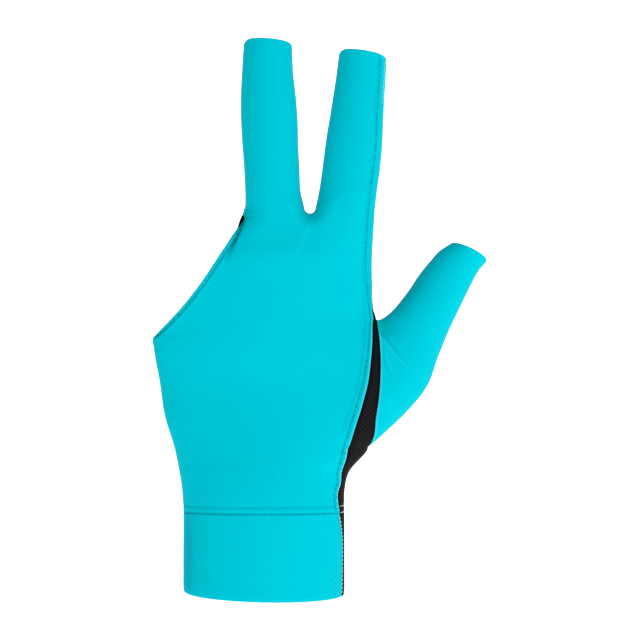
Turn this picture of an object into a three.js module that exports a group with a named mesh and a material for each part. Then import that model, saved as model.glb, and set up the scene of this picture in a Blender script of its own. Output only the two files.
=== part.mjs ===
// A three-finger billiard glove for the left hand, shown as it is worn, with nothing inside it.
// Lengths are in millimetres and angles in degrees. The frame: the origin is the centre of the
// cuff's mouth, +Z runs to the fingertips, +X to the thumb, and the back of the hand faces -Y.
// One skin of quads is worked out from the sections below. Each cloth panel is the part of the
// skin inside its seams, given the thickness of its cloth.

import * as THREE from 'three';

// Cloth
const clothWall = 1.2;
const cuffWall = 2.0;
const hemWall = 1.9;
const seamGap = 0.3;
const sharpestMitre = 0.02; // limits how far a seam's corner is drawn in

// Cuff and wrist
const cuffHeight = 31.3;
const wristWidth = 61.6;
const wristDepth = 40;
const mouthTilt = 1.0; // how far the mouth's front edge lies below its middle

// Hand, from the cuff's seam to the web between the two fingers
const palmHeight = 113.5;
const palmWidth = 85;
const palmDepth = 30;
const webX = 17.6;
const webRounding = 12; // height over which the hand parts into two fingers
const sidePacking = 1.2; // above 1, the rows beside the web crowd towards the thumb
const turnFrom = 0.35; // share of the way across where the hand starts to turn to the palm

// Seam round the thumb's root, a long loop on the edge of the hand
const rootRise = 24; // from the cuff's seam to the loop's lower end
const rootLength = 49;
const rootLowX = 40.2;
const rootTopX = 43.4;
const rootBulge = 2.7;
const rootOpen = 0.9; // share of the hand's depth that the loop takes

// Opening for the ring and little fingers
const openingRise = 65.8; // from the cuff's seam to the opening's lower corner
const openingOpen = 0.92; // share of the hand's depth that the opening takes

// Fingers, whose ends are cut open
const middleLength = 67;
const middleWidth = 20.5;
const indexLength = 62.5;
const indexWidth = 19.6;
const fingerDepth = 18;
const fingerFlex = 8;
const middleLean = 2;
const indexLean = 7;
const flexPower = 1.4; // 1 for a straight finger, more for one that bends
const flexSettled = 0.35; // share of a finger's length where its sections stand square to it

// Thumb
const thumbReach = 44.6;
const thumbRise = 29.7;
const thumbDepth = 24;
const thumbFlex = 14;
const thumbFlexFrom = 0.3; // share of the thumb's length where it starts to bend

// Edges of the hand seen from its back. rise: share of palmHeight above the cuff's seam.
// littleSide, thumbSide: from the wrist's edge (0) to the palm's or the thumb root's (1).
// strip: width of mesh seen before the thumb's seam or the hand's edge, a share of palmWidth.
const HAND_EDGES = [
  { rise: -0.15, littleSide: 0.0, thumbSide: 0.0, strip: 0.013 },
  { rise: 0.0, littleSide: 0.0, thumbSide: 0.0, strip: 0.02 },
  { rise: 0.07, littleSide: 0.04, thumbSide: 0.01, strip: 0.024 },
  { rise: 0.13, littleSide: 0.13, thumbSide: 0.2, strip: 0.033 },
  { rise: 0.21, littleSide: 0.29, thumbSide: 1.0, strip: 0.085 },
  { rise: 0.32, littleSide: 0.61, thumbSide: 1.0, strip: 0.075 },
  { rise: 0.43, littleSide: 0.77, thumbSide: 1.0, strip: 0.058 },
  { rise: 0.55, littleSide: 0.97, thumbSide: 1.0, strip: 0.03 },
  { rise: 0.64, littleSide: 1.0, thumbSide: 1.0, strip: 0.02 },
  { rise: 0.69, littleSide: 1.0, thumbSide: 1.0, strip: 0.004 },
  { rise: 0.76, littleSide: 1.0, thumbSide: 1.0, strip: 0.0 },
  { rise: 1.0, littleSide: 1.0, thumbSide: 1.0, strip: 0.0 },
];

// Depth of the hand. wrist: share of half the wrist's depth. back, palm: shares of palmDepth
// added in front and behind. turn: shift of the thumb side towards the palm, a share of
// palmDepth. fullness: 1 for an ellipse, less for a squarer section.
const HAND_DEPTHS = [
  { rise: 0.0, wrist: 1.0, back: 0.0, palm: 0.0, turn: 0.0, fullness: 0.88 },
  { rise: 0.07, wrist: 0.9, back: 0.05, palm: 0.06, turn: 0.01, fullness: 0.88 },
  { rise: 0.13, wrist: 0.76, back: 0.12, palm: 0.15, turn: 0.03, fullness: 0.87 },
  { rise: 0.21, wrist: 0.5, back: 0.25, palm: 0.31, turn: 0.07, fullness: 0.84 },
  { rise: 0.32, wrist: 0.18, back: 0.41, palm: 0.5, turn: 0.11, fullness: 0.8 },
  { rise: 0.43, wrist: 0.0, back: 0.49, palm: 0.61, turn: 0.13, fullness: 0.76 },
  { rise: 0.55, wrist: 0.0, back: 0.47, palm: 0.59, turn: 0.11, fullness: 0.75 },
  { rise: 0.64, wrist: 0.0, back: 0.45, palm: 0.56, turn: 0.07, fullness: 0.76 },
  { rise: 0.76, wrist: 0.0, back: 0.42, palm: 0.5, turn: 0.02, fullness: 0.79 },
  { rise: 0.89, wrist: 0.0, back: 0.39, palm: 0.44, turn: 0.0, fullness: 0.85 },
  { rise: 1.0, wrist: 0.0, back: 0.35, palm: 0.38, turn: 0.0, fullness: 0.9 },
];

// The hand's edge between the thumb and the index finger. along: share of the way up from the
// thumb's root to the fingers. dip: hollow of the edge, a share of palmWidth.
const THUMB_SIDE = [
  { along: 0.0, dip: 0.0 },
  { along: 0.07, dip: 0.014 },
  { along: 0.15, dip: 0.018 },
  { along: 0.35, dip: 0.021 },
  { along: 0.55, dip: 0.019 },
  { along: 0.8, dip: 0.009 },
  { along: 1.0, dip: 0.0 },
];

// The opening's two hems. along: share of its height. back, palm: how far each hem is cut in
// from the straight line between the opening's ends, a share of palmWidth.
const HEMS = [
  { along: 0.0, back: 0.0, palm: 0.0 },
  { along: 0.2, back: 0.034, palm: 0.055 },
  { along: 0.42, back: 0.046, palm: 0.075 },
  { along: 0.7, back: 0.036, palm: 0.045 },
  { along: 0.88, back: 0.018, palm: -0.004 },
  { along: 1.0, back: 0.0, palm: 0.0 },
];

// The fingers' edges seen from the back of the hand. along: share of the finger's length above
// the web. left, right: shares of the finger's width from the web. depth: share of fingerDepth.
const MIDDLE_FINGER = [
  { along: 0.0, left: -1.249, right: 0.0, depth: 1.04 },
  { along: 0.02, left: -1.24, right: -0.078, depth: 1.04 },
  { along: 0.05, left: -1.22, right: -0.141, depth: 1.04 },
  { along: 0.13, left: -1.215, right: -0.185, depth: 1.03 },
  { along: 0.27, left: -1.234, right: -0.205, depth: 1.01 },
  { along: 0.41, left: -1.266, right: -0.236, depth: 1.0 },
  { along: 0.55, left: -1.288, right: -0.25, depth: 0.98 },
  { along: 0.69, left: -1.288, right: -0.284, depth: 0.96 },
  { along: 0.83, left: -1.268, right: -0.332, depth: 0.94 },
  { along: 1.0, left: -1.24, right: -0.362, depth: 0.93 },
];
const INDEX_FINGER = [
  { along: 0.0, left: 0.0, right: 1.25, depth: 1.04 },
  { along: 0.02, left: 0.077, right: 1.255, depth: 1.04 },
  { along: 0.05, left: 0.133, right: 1.265, depth: 1.04 },
  { along: 0.13, left: 0.179, right: 1.29, depth: 1.03 },
  { along: 0.28, left: 0.25, right: 1.345, depth: 1.01 },
  { along: 0.43, left: 0.311, right: 1.385, depth: 0.99 },
  { along: 0.58, left: 0.388, right: 1.408, depth: 0.97 },
  { along: 0.73, left: 0.462, right: 1.43, depth: 0.95 },
  { along: 0.88, left: 0.53, right: 1.462, depth: 0.93 },
  { along: 1.0, left: 0.566, right: 1.472, depth: 0.93 },
];

// Sections of the thumb, each between a point on its upper edge and one on its lower edge.
// upperOut, lowerOut: shares of thumbReach from the root's ends. upperUp: share of thumbRise.
// lowerUp: share of the root's length and thumbRise together. depth: half depth, a share of
// thumbDepth. shift: distance towards the palm, a share of palmDepth.
const THUMB = [
  { along: 0.0, upperOut: 0.0, upperUp: 0.0, lowerOut: 0.0, lowerUp: 0.0, depth: 0.54, shift: 0.12 },
  { along: 0.06, upperOut: 0.036, upperUp: 0.003, lowerOut: 0.12, lowerUp: 0.06, depth: 0.54, shift: 0.15 },
  { along: 0.14, upperOut: 0.083, upperUp: 0.044, lowerOut: 0.305, lowerUp: 0.156, depth: 0.53, shift: 0.19 },
  { along: 0.28, upperOut: 0.152, upperUp: 0.135, lowerOut: 0.505, lowerUp: 0.29, depth: 0.51, shift: 0.24 },
  { along: 0.42, upperOut: 0.221, upperUp: 0.259, lowerOut: 0.605, lowerUp: 0.437, depth: 0.48, shift: 0.28 },
  { along: 0.57, upperOut: 0.297, upperUp: 0.409, lowerOut: 0.697, lowerUp: 0.563, depth: 0.45, shift: 0.32 },
  { along: 0.72, upperOut: 0.381, upperUp: 0.598, lowerOut: 0.795, lowerUp: 0.678, depth: 0.43, shift: 0.35 },
  { along: 0.86, upperOut: 0.485, upperUp: 0.788, lowerOut: 0.912, lowerUp: 0.81, depth: 0.41, shift: 0.37 },
  { along: 0.93, upperOut: 0.549, upperUp: 0.891, lowerOut: 0.96, lowerUp: 0.858, depth: 0.4, shift: 0.38 },
  { along: 1.0, upperOut: 0.613, upperUp: 1.0, lowerOut: 1.045, lowerUp: 0.905, depth: 0.4, shift: 0.39 },
];

// Pulls and creases in the back of the glove, each a shallow valley between two points.
// from, to: x as a share of palmWidth, and height above the cuff's seam as a share of
// palmHeight. depth, width: shares of palmDepth.
const foldSpan = [0.15, 0.85]; // part of a sine's arch that a fold's depth follows
const foldFade = palmDepth / 5; // depth from the hand's middle over which folds fade in
const FOLDS = [
  { from: [0.235, 0.965], to: [0.16, 0.84], depth: 0.022, width: 0.1 }, // below the web
  { from: [-0.115, 0.96], to: [-0.19, 0.76], depth: 0.04, width: 0.11 }, // beside the opening
  { from: [0.55, 0.6], to: [0.74, 0.38], depth: 0.035, width: 0.11 }, // thumb's root
  { from: [0.56, 0.53], to: [0.68, 0.31], depth: 0.03, width: 0.12 }, // below the first
];

// Division of the skin into quads
const cuffRows = 4;
const wristRows = 5;
const rootRows = 12;
const openingRow = cuffRows + wristRows + 9; // where the opening's lower corner lies
const sideRows = 4;
const webRows = 4;
const fingerRows = [0, 0.02, 0.05, 0.11, 0.2, 0.32, 0.45, 0.58, 0.72, 0.86, 1];
const thumbRows = [0, 0.06, 0.14, 0.24, 0.34, 0.44, 0.54, 0.64, 0.74, 0.83, 0.92, 1];
const fingerColumns = 10; // over the front of one finger, and as many behind it
const backColumns = 2 * fingerColumns;
const stripColumns = 2;
const palmColumns = 2 * fingerColumns - stripColumns;

// Heights that follow from the sizes above
const rootLowZ = cuffHeight + rootRise;
const rootTopZ = rootLowZ + rootLength;
const openingZ = cuffHeight + openingRise;
const webZ = cuffHeight + palmHeight;
const rootRow = cuffRows + wristRows;
const crotchRow = rootRow + rootRows;
const lastRow = crotchRow + sideRows + webRows;
const wristHalf = wristWidth / 2;

const { lerp, clamp, smoothstep, degToRad } = THREE.MathUtils;

// A smooth curve through one table: key is the column that it runs along.
function table(rows, key) {
  const columns = Object.keys(rows[0]).filter((name) => name !== key);
  const values = rows.flatMap((row) => columns.map((name) => row[name]));
  const spline = new THREE.CubicInterpolant(rows.map((row) => row[key]), values, columns.length);
  const [first, last] = [rows[0][key], rows[rows.length - 1][key]];
  return (at) => {
    const found = spline.evaluate(clamp(at, first, last));
    return Object.fromEntries(columns.map((name, i) => [name, found[i]]));
  };
}

const edgesAt = table(HAND_EDGES, 'rise');
const depthsAt = table(HAND_DEPTHS, 'rise');
const thumbSideAt = table(THUMB_SIDE, 'along');
const hemsAt = table(HEMS, 'along');
const middleAt = table(MIDDLE_FINGER, 'along');
const indexAt = table(INDEX_FINGER, 'along');
const thumbAt = table(THUMB, 'along');

// Cloth bowed over the hand from one edge to the other. Each edge is { x, gap }, where gap is
// its distance from the section's middle plane.
function arc(left, right, depth, fullness) {
  const angleOf = (edge) => Math.asin(Math.min(edge.gap / depth, 1) ** (1 / fullness));
  const from = Math.PI - angleOf(left);
  const to = angleOf(right);
  const spread = (right.x - left.x) / (Math.cos(to) - Math.cos(from));
  const middle = left.x - spread * Math.cos(from);
  return {
    from,
    to,
    x: (angle) => middle + spread * Math.cos(angle),
    angle: (x) => Math.acos(clamp((x - middle) / spread, -1, 1)),
    depth: (x) => depth * Math.max(0, 1 - ((x - middle) / spread) ** 2) ** (fullness / 2),
  };
}

// Heights of one row of the skin at the hand's two edges.
function rowHeights(row) {
  const right = thumbSideHeight(row);
  const corner = thumbSideHeight(openingRow);
  const share = (right - cuffHeight) / (corner - cuffHeight);
  if (row <= cuffRows) return { left: right, right };
  if (row <= openingRow) return { left: lerp(cuffHeight, openingZ, share), right };
  return { left: lerp(openingZ, webZ, (right - corner) / (webZ - corner)), right };
}

function thumbSideHeight(row) {
  if (row <= cuffRows) return (cuffHeight * row) / cuffRows;
  if (row <= rootRow) return cuffHeight + (rootRise * (row - cuffRows)) / wristRows;
  if (row <= crotchRow) return rootLowZ + (rootLength * (1 - Math.cos(rootAngle(row)))) / 2;
  if (row <= crotchRow + sideRows) {
    return lerp(rootTopZ, webZ - webRounding, ((row - crotchRow) / sideRows) ** sidePacking);
  }
  return webZ - webRounding * (1 - Math.sin(webAngle(row)));
}

const rootAngle = (row) => (Math.PI * clamp(row - rootRow, 0, rootRows)) / rootRows;
const webAngle = (row) => (Math.PI / 2) * clamp((row - crotchRow - sideRows) / webRows, 0, 1);

// The hand's edges, depths and blends for one row.
function handSection(row) {
  const height = rowHeights(row);
  const rise = (height.right - cuffHeight) / palmHeight;
  const edges = edgesAt(rise);
  const shape = depthsAt(rise);
  const littleSide = edgesAt((height.left - cuffHeight) / palmHeight).littleSide;
  const depth = {
    back: (shape.wrist * wristDepth) / 2 + shape.back * palmDepth,
    palm: (shape.wrist * wristDepth) / 2 + shape.palm * palmDepth,
  };
  return {
    height,
    depth,
    fullness: shape.fullness,
    turn: shape.turn * palmDepth,
    left: leftEdges(row, height.left, littleSide, depth),
    right: rightEdges(row, height.right, edges.thumbSide, depth),
    seamInset: edges.strip * palmWidth,
    parting: 1 - Math.cos(webAngle(row)),
    fingering: smoothstep(row, crotchRow, lastRow),
  };
}

function leftEdges(row, z, spread, depth) {
  if (row <= openingRow) {
    const edge = { x: -lerp(wristHalf, palmWidth / 2, spread), gap: 0 };
    return { back: edge, palm: edge };
  }
  const along = (z - openingZ) / (webZ - openingZ);
  const straight = lerp(-palmWidth / 2, webX + middleAt(0).left * middleWidth, along);
  const open = openingOpen * Math.sqrt(Math.max(0, 1 - (2 * along - 1) ** 2));
  const cut = hemsAt(along);
  return {
    back: { x: straight + cut.back * palmWidth, gap: open * depth.back },
    palm: { x: straight + cut.palm * palmWidth, gap: open * depth.palm },
  };
}

function rightEdges(row, z, spread, depth) {
  if (row <= crotchRow) {
    const angle = rootAngle(row);
    const straight = lerp(rootLowX, rootTopX, (1 - Math.cos(angle)) / 2);
    const edge = straight + rootBulge * Math.sin(angle) ** 2;
    const x = lerp(wristHalf, edge, spread);
    const open = rootOpen * Math.sin(angle);
    return { back: { x, gap: open * depth.back }, palm: { x, gap: open * depth.palm } };
  }
  const along = (z - rootTopZ) / (webZ - rootTopZ);
  const straight = lerp(rootTopX, webX + indexAt(0).right * indexWidth, along);
  const x = straight - thumbSideAt(along).dip * palmWidth;
  return { back: { x, gap: 0 }, palm: { x, gap: 0 } };
}

// One row of the hand: back[0] is its little-finger edge, back[backColumns] the seam beside the
// mesh, and back's last point the thumb's seam, where palm[0] starts the way back.
function handRow(row) {
  const section = handSection(row);
  const web = { x: webX, gap: 0 };
  const halfFinger = (middleAt(0).depth * fingerDepth) / 2;
  const sides = {};
  for (const side of ['back', 'palm']) {
    const left = section.left[side];
    const right = section.right[side];
    const leftDepth = Math.max(halfFinger, left.gap);
    sides[side] = {
      whole: arc(left, right, section.depth[side], section.fullness),
      middle: arc(left, web, leftDepth, 1),
      index: arc(web, right, Math.max(halfFinger, right.gap), 1),
      left,
      right,
      sign: side === 'back' ? -1 : 1,
    };
  }
  const point = (side, handX, fingerX) => {
    const arcs = sides[side];
    const x = lerp(handX, fingerX, section.fingering);
    const finger = x < webX ? arcs.middle : arcs.index;
    const depth = lerp(arcs.whole.depth(x), finger.depth(x), section.parting);
    const across = (x - arcs.left.x) / (arcs.right.x - arcs.left.x);
    const turned = section.turn * smoothstep(across, turnFrom, 1);
    const y = turned + arcs.sign * depth;
    const z = lerp(section.height.left, section.height.right, clamp(across, 0, 1));
    return folded(new THREE.Vector3(x, y, tilted(y, z)), turned);
  };
  const { back, palm } = sides;
  const seamAngle = back.whole.angle(back.right.x - section.seamInset);
  const wrapped = ((Math.PI * stripColumns) / fingerColumns) * section.fingering;
  const wrapAngle = row > crotchRow ? -wrapped : back.whole.to;
  const backRow = [];
  for (let c = 0; c <= backColumns; c += 1) {
    const angle = lerp(back.whole.from, seamAngle, c / backColumns);
    backRow.push(point('back', back.whole.x(angle), fingerX(back, c / fingerColumns)));
  }
  for (let c = 1; c <= stripColumns; c += 1) {
    const angle = lerp(seamAngle, wrapAngle, c / stripColumns);
    const side = angle >= 0 ? 'back' : 'palm';
    const handX = sides[side].whole.x(Math.abs(angle));
    backRow.push(point(side, handX, fingerX(sides[side], 2 - c / fingerColumns)));
  }
  const palmRow = [];
  const palmStart = row > crotchRow ? -wrapAngle : palm.whole.to;
  for (let c = 0; c <= palmColumns; c += 1) {
    const angle = lerp(palmStart, palm.whole.from, c / palmColumns);
    const place = 2 - (c + stripColumns) / fingerColumns;
    palmRow.push(point('palm', palm.whole.x(angle), fingerX(palm, place)));
  }
  return { back: backRow, palm: palmRow };
}

// Where a column lies once the hand has parted into fingers: 0 to 1 across the middle finger
// and 1 to 2 across the index finger.
function fingerX(arcs, place) {
  const finger = place < 1 ? arcs.middle : arcs.index;
  return finger.x(lerp(finger.from, finger.to, place < 1 ? place : place - 1));
}

// The mouth's slant, which fades out up the cuff.
function tilted(y, z) {
  return z + mouthTilt * (y / (wristDepth / 2)) * clamp(1 - z / cuffHeight, 0, 1);
}

// A point on the back of the glove pushed in by the folds near it.
function folded(point, middleY) {
  const frontness = clamp((middleY - point.y) / foldFade, 0, 1);
  const here = new THREE.Vector2(point.x, point.z);
  const nearest = new THREE.Vector2();
  for (const fold of FOLDS) {
    const [from, to] = [fold.from, fold.to].map(
      ([x, up]) => new THREE.Vector2(x * palmWidth, cuffHeight + up * palmHeight),
    );
    const line = to.clone().sub(from);
    const along = clamp(here.clone().sub(from).dot(line) / line.lengthSq(), 0, 1);
    const distance = nearest.copy(from).addScaledVector(line, along).distanceTo(here);
    const valley = Math.exp(-((distance / (fold.width * palmDepth)) ** 2));
    const arch = Math.sin(Math.PI * lerp(...foldSpan, along));
    point.y += frontness * fold.depth * palmDepth * valley * arch;
  }
  return point;
}

// Rings of one finger above the hand's last row. Each runs from the little-finger side over the
// back to the thumb side, and home along the palm.
function fingerRings(base, sectionAt, length, width, lean) {
  const flex = Math.tan(degToRad(fingerFlex));
  const leaning = Math.tan(degToRad(lean));
  return fingerRows.map((along) => {
    if (along === 0) return base;
    const section = sectionAt(along);
    const middle = webX + ((section.left + section.right) / 2) * width;
    const half = ((section.right - section.left) / 2) * width;
    const settled = smoothstep(along, 0, flexSettled);
    return base.map((_, column) => {
      const angle = Math.PI * (1 - column / fingerColumns);
      const x = half * Math.cos(angle);
      const y = (-section.depth * fingerDepth * Math.sin(angle)) / 2;
      const slant = settled * (x * leaning + y * flex);
      const bent = y + length * flex * along ** flexPower;
      return new THREE.Vector3(middle + x, bent, webZ + along * length - slant);
    });
  });
}

// Rings of the thumb from its root, each running up the front and down the palm side.
function thumbRings(base) {
  const low = new THREE.Vector3(rootLowX, 0, rootLowZ);
  const top = new THREE.Vector3(rootTopX, 0, rootTopZ);
  const fullRise = rootLength + thumbRise;
  return thumbRows.map((along) => {
    if (along === 0) return base;
    const section = thumbAt(along);
    const { upperOut, upperUp, lowerOut, lowerUp } = section;
    const upper = new THREE.Vector3(upperOut * thumbReach, 0, upperUp * thumbRise).add(top);
    const lower = new THREE.Vector3(lowerOut * thumbReach, 0, lowerUp * fullRise).add(low);
    const centre = upper.clone().add(lower).multiplyScalar(0.5);
    const half = upper.clone().sub(lower).multiplyScalar(0.5);
    const shift = section.shift * palmDepth;
    const outward = new THREE.Vector3(half.z, 0, -half.x).normalize();
    const slant = Math.tan(degToRad(thumbFlex)) * smoothstep(along, thumbFlexFrom, 1);
    return base.map((_, column) => {
      const angle = (Math.PI * column) / rootRows;
      const forward = section.depth * thumbDepth * Math.sin(angle);
      const point = centre.clone().addScaledVector(half, -Math.cos(angle));
      point.addScaledVector(outward, forward * slant).setY(shift - forward);
      return folded(point, shift);
    });
  });
}

// The glove's outer skin: shared points and the triangles of each panel.
class Skin {
  constructor() {
    this.points = [];
    this.walls = [];
    this.indexOf = new Map();
    this.panels = new Map();
  }

  index(point) {
    const key = point.toArray().map((value) => Math.round(value * 1000)).join();
    if (!this.indexOf.has(key)) {
      this.indexOf.set(key, this.points.length);
      this.points.push(point);
      this.walls.push(clothWall);
    }
    return this.indexOf.get(key);
  }

  // Cloth between two rows of points, where upper lies above lower as lower runs to the right.
  addStrip(panel, lower, upper) {
    if (!this.panels.has(panel)) this.panels.set(panel, []);
    for (let c = 0; c + 1 < lower.length; c += 1) {
      const [a, b, d, e] = [lower[c], lower[c + 1], upper[c + 1], upper[c]].map((p) => this.index(p));
      for (const triangle of [[a, b, d], [a, d, e]]) {
        if (new Set(triangle).size === 3) this.panels.get(panel).push(triangle);
      }
    }
  }

  thicken(points, wall) {
    for (const point of points) this.walls[this.index(point)] = wall;
  }

  // The normal at each point, from every panel that meets there.
  normals() {
    const normals = this.points.map(() => new THREE.Vector3());
    for (const [a, b, c] of [...this.panels.values()].flat()) {
      const [p, q, r] = [this.points[a], this.points[b], this.points[c]];
      const face = q.clone().sub(p).cross(r.clone().sub(p));
      for (const corner of [a, b, c]) normals[corner].add(face);
    }
    return normals.map((normal) => normal.normalize());
  }

  // Edges of one panel's triangles that no other triangle of it shares.
  boundary(panel) {
    const edges = this.panels.get(panel).flatMap(([a, b, c]) => [[a, b], [b, c], [c, a]]);
    const known = new Set(edges.map((edge) => edge.join()));
    return edges.filter(([a, b]) => !known.has([b, a].join()));
  }
}

// One panel as a solid: its outer face, an inner face one wall further in, and its cut edges.
// Along a seam the panel stops half the seam's gap short of its neighbour.
function panelGeometry(skin, panel, normals, wallOf) {
  const boundary = skin.boundary(panel);
  const others = new Set();
  for (const name of skin.panels.keys()) {
    if (name !== panel) for (const [a, b] of skin.boundary(name)) others.add([b, a].join());
  }
  const insets = new Map();
  for (const [a, b] of boundary.filter((edge) => others.has(edge.join()))) {
    const run = skin.points[b].clone().sub(skin.points[a]);
    for (const corner of [a, b]) {
      const inward = normals[corner].clone().cross(run).normalize();
      if (!insets.has(corner)) insets.set(corner, []);
      insets.get(corner).push(inward);
    }
  }
  const outer = skin.points.map((point, i) => {
    const moved = point.clone();
    const inward = insets.get(i) ?? [];
    const sum = inward.reduce((total, one) => total.add(one), new THREE.Vector3());
    const square = inward.length === 2 ? Math.max(sharpestMitre, 1 + inward[0].dot(inward[1])) : 1;
    return moved.addScaledVector(sum, seamGap / 2 / square);
  });
  const positions = [];
  const inner = outer.map((point, i) => point.clone().addScaledVector(normals[i], -wallOf(i)));
  const face = (...corners) => corners.forEach((corner) => positions.push(...corner.toArray()));
  for (const [a, b, c] of skin.panels.get(panel)) {
    face(outer[a], outer[b], outer[c]);
    face(inner[a], inner[c], inner[b]);
  }
  for (const [a, b] of boundary) {
    face(outer[b], outer[a], inner[a]);
    face(outer[b], inner[a], inner[b]);
  }
  const geometry = new THREE.BufferGeometry();
  geometry.setAttribute('position', new THREE.Float32BufferAttribute(positions, 3));
  geometry.computeVertexNormals();
  return geometry;
}

function buildSkin() {
  const skin = new Skin();
  const rows = Array.from({ length: lastRow + 1 }, (_, row) => handRow(row));
  for (let row = 0; row < lastRow; row += 1) {
    const [lower, upper] = [rows[row], rows[row + 1]];
    const inCuff = row < cuffRows;
    const [back, palm] = inCuff ? ['cuff_back', 'cuff_palm'] : ['back_panel', 'palm_panel'];
    skin.addStrip(back, lower.back.slice(0, backColumns + 1), upper.back.slice(0, backColumns + 1));
    skin.addStrip(palm, lower.back.slice(backColumns), upper.back.slice(backColumns));
    skin.addStrip(palm, lower.palm, upper.palm);
  }
  const { back, palm } = rows[lastRow];
  const fingers = [
    {
      underside: 'middle_underside',
      rings: fingerRings(
        [...back.slice(0, fingerColumns + 1), ...palm.slice(fingerColumns - 1)],
        middleAt, middleLength, middleWidth, middleLean,
      ),
    },
    {
      underside: 'index_underside',
      rings: fingerRings(
        [...back.slice(fingerColumns), ...palm.slice(1, fingerColumns - 1)],
        indexAt, indexLength, indexWidth, indexLean,
      ),
    },
  ];
  for (const { underside, rings } of fingers) {
    for (let r = 0; r + 1 < rings.length; r += 1) {
      const [lower, upper] = [rings[r], rings[r + 1]];
      skin.addStrip('back_panel', lower.slice(0, fingerColumns + 1), upper.slice(0, fingerColumns + 1));
      skin.addStrip(underside, lower.slice(fingerColumns), upper.slice(fingerColumns));
    }
  }
  const root = rows.slice(rootRow, crotchRow + 1);
  const front = root.map((row) => row.back[row.back.length - 1]);
  const behind = root.map((row) => row.palm[0]).reverse();
  const thumb = thumbRings([...front, ...behind.slice(1)]);
  for (let r = 0; r + 1 < thumb.length; r += 1) {
    skin.addStrip('thumb_sleeve', thumb[r + 1], thumb[r]);
  }
  const hems = rows.slice(openingRow).flatMap((row) => [row.back[0], row.palm[row.palm.length - 1]]);
  skin.thicken(hems, hemWall);
  return skin;
}

const spandex = { color: 0x04c6d6, roughness: 0.62, metalness: 0 };
const mesh = { color: 0x17151a, roughness: 0.85, metalness: 0 };
const cloths = {
  back_panel: spandex,
  palm_panel: mesh,
  thumb_sleeve: spandex,
  index_underside: spandex,
  middle_underside: spandex,
  cuff_back: spandex,
  cuff_palm: mesh,
};

const skin = buildSkin();
const normals = skin.normals();
const group = new THREE.Group();
for (const [name, cloth] of Object.entries(cloths)) {
  const wallOf = (i) => (name.startsWith('cuff') ? cuffWall : skin.walls[i]);
  const geometry = panelGeometry(skin, name, normals, wallOf);
  const panel = new THREE.Mesh(geometry, new THREE.MeshStandardMaterial(cloth));
  panel.name = name;
  group.add(panel);
}

export default group;
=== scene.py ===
"""A three-finger billiard glove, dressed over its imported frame.

The glove is one skin worked out from formulas, cut into the panels of its pattern. Each panel is
given its cloth's thickness, its raised bands and its puckers, and then the seams get their thread.
Lengths in the formulas are millimetres, in the frame's own axes: +Z to the fingertips, +X to the
thumb, and the back of the hand faces -Y.
"""

import logging
from dataclasses import dataclass, field
from enum import Enum
from functools import cached_property
from typing import Any, Callable, Sequence

import bpy
import numpy as np
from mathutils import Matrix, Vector


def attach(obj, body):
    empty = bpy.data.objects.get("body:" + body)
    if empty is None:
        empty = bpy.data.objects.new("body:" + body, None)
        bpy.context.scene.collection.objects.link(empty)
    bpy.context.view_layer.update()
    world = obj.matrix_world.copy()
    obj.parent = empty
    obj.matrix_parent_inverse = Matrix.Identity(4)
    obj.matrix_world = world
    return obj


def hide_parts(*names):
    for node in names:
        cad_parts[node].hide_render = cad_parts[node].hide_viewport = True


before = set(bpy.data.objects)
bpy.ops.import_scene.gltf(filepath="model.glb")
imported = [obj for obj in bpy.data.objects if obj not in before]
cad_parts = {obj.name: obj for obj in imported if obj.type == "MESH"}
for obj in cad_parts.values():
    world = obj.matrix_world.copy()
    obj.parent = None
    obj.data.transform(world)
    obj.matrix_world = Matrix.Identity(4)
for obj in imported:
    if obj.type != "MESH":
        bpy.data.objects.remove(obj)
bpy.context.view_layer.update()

log = logging.getLogger("glove")

METRES = 0.001
TAU = 2 * np.pi
TINY = 1e-9
BLOCK = 4096  # points that are compared with a line at a time
PROBE = 0.2  # columns over which their spacing is measured
HALVINGS = 20  # of the stretch in which a column is looked for

Array = np.ndarray
Colour = tuple[float, float, float, float]


def lerp(start: Any, end: Any, share: Any) -> Any:
    """The value that lies a share of the way from start to end."""
    return start + (end - start) * share


def eased(value: Array, low: float, high: float) -> Array:
    """Rises from 0 at low to 1 at high with level ends: 3t^2 - 2t^3."""
    share = np.clip((value - low) / (high - low), 0, 1)
    return share * share * (3 - 2 * share)


def bell(distance: Array, width: float) -> Array:
    """A rounded bump that is 1 at the line and fades over its width: exp(-(d/w)^2)."""
    return np.exp(-((distance / width) ** 2))


def spread(stops: Sequence[float], steps: Sequence[int]) -> Array:
    """Values evenly spaced in each stretch between neighbouring stops.

    Args:
        stops: Ends of the stretches, rising.
        steps: Number of steps in each stretch.

    Returns:
        All the values, ends included, each once.
    """
    parts = [np.linspace(a, b, n, endpoint=False) for a, b, n in zip(stops, stops[1:], steps)]
    return np.concatenate([*parts, [stops[-1]]])


def units(vectors: Array) -> Array:
    """The vectors, each brought to length 1."""
    return vectors / np.maximum(np.linalg.norm(vectors, axis=-1, keepdims=True), TINY)


def run_length(points: Array) -> Array:
    """Distance along a line of points, 0 at its first point."""
    return np.concatenate([[0], np.cumsum(np.linalg.norm(np.diff(points, axis=0), axis=1))])


def nearest(points: Array, line: Array) -> tuple[Array, Array]:
    """The point of a dense line that is nearest to each given point.

    Args:
        points: The points to measure from, (n, 3).
        line: Points along the line, (m, 3).

    Returns:
        The distances and the indices into the line.
    """
    distance = np.empty(len(points))
    index = np.empty(len(points), int)
    squares = (line**2).sum(1)
    for start in range(0, len(points), BLOCK):
        part = points[start : start + BLOCK]
        apart = (part**2).sum(1)[:, None] + squares - 2 * part @ line.T
        found = apart.argmin(1)
        index[start : start + BLOCK] = found
        least = apart[np.arange(len(part)), found]
        distance[start : start + BLOCK] = np.sqrt(np.maximum(least, 0))
    return distance, index


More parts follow.
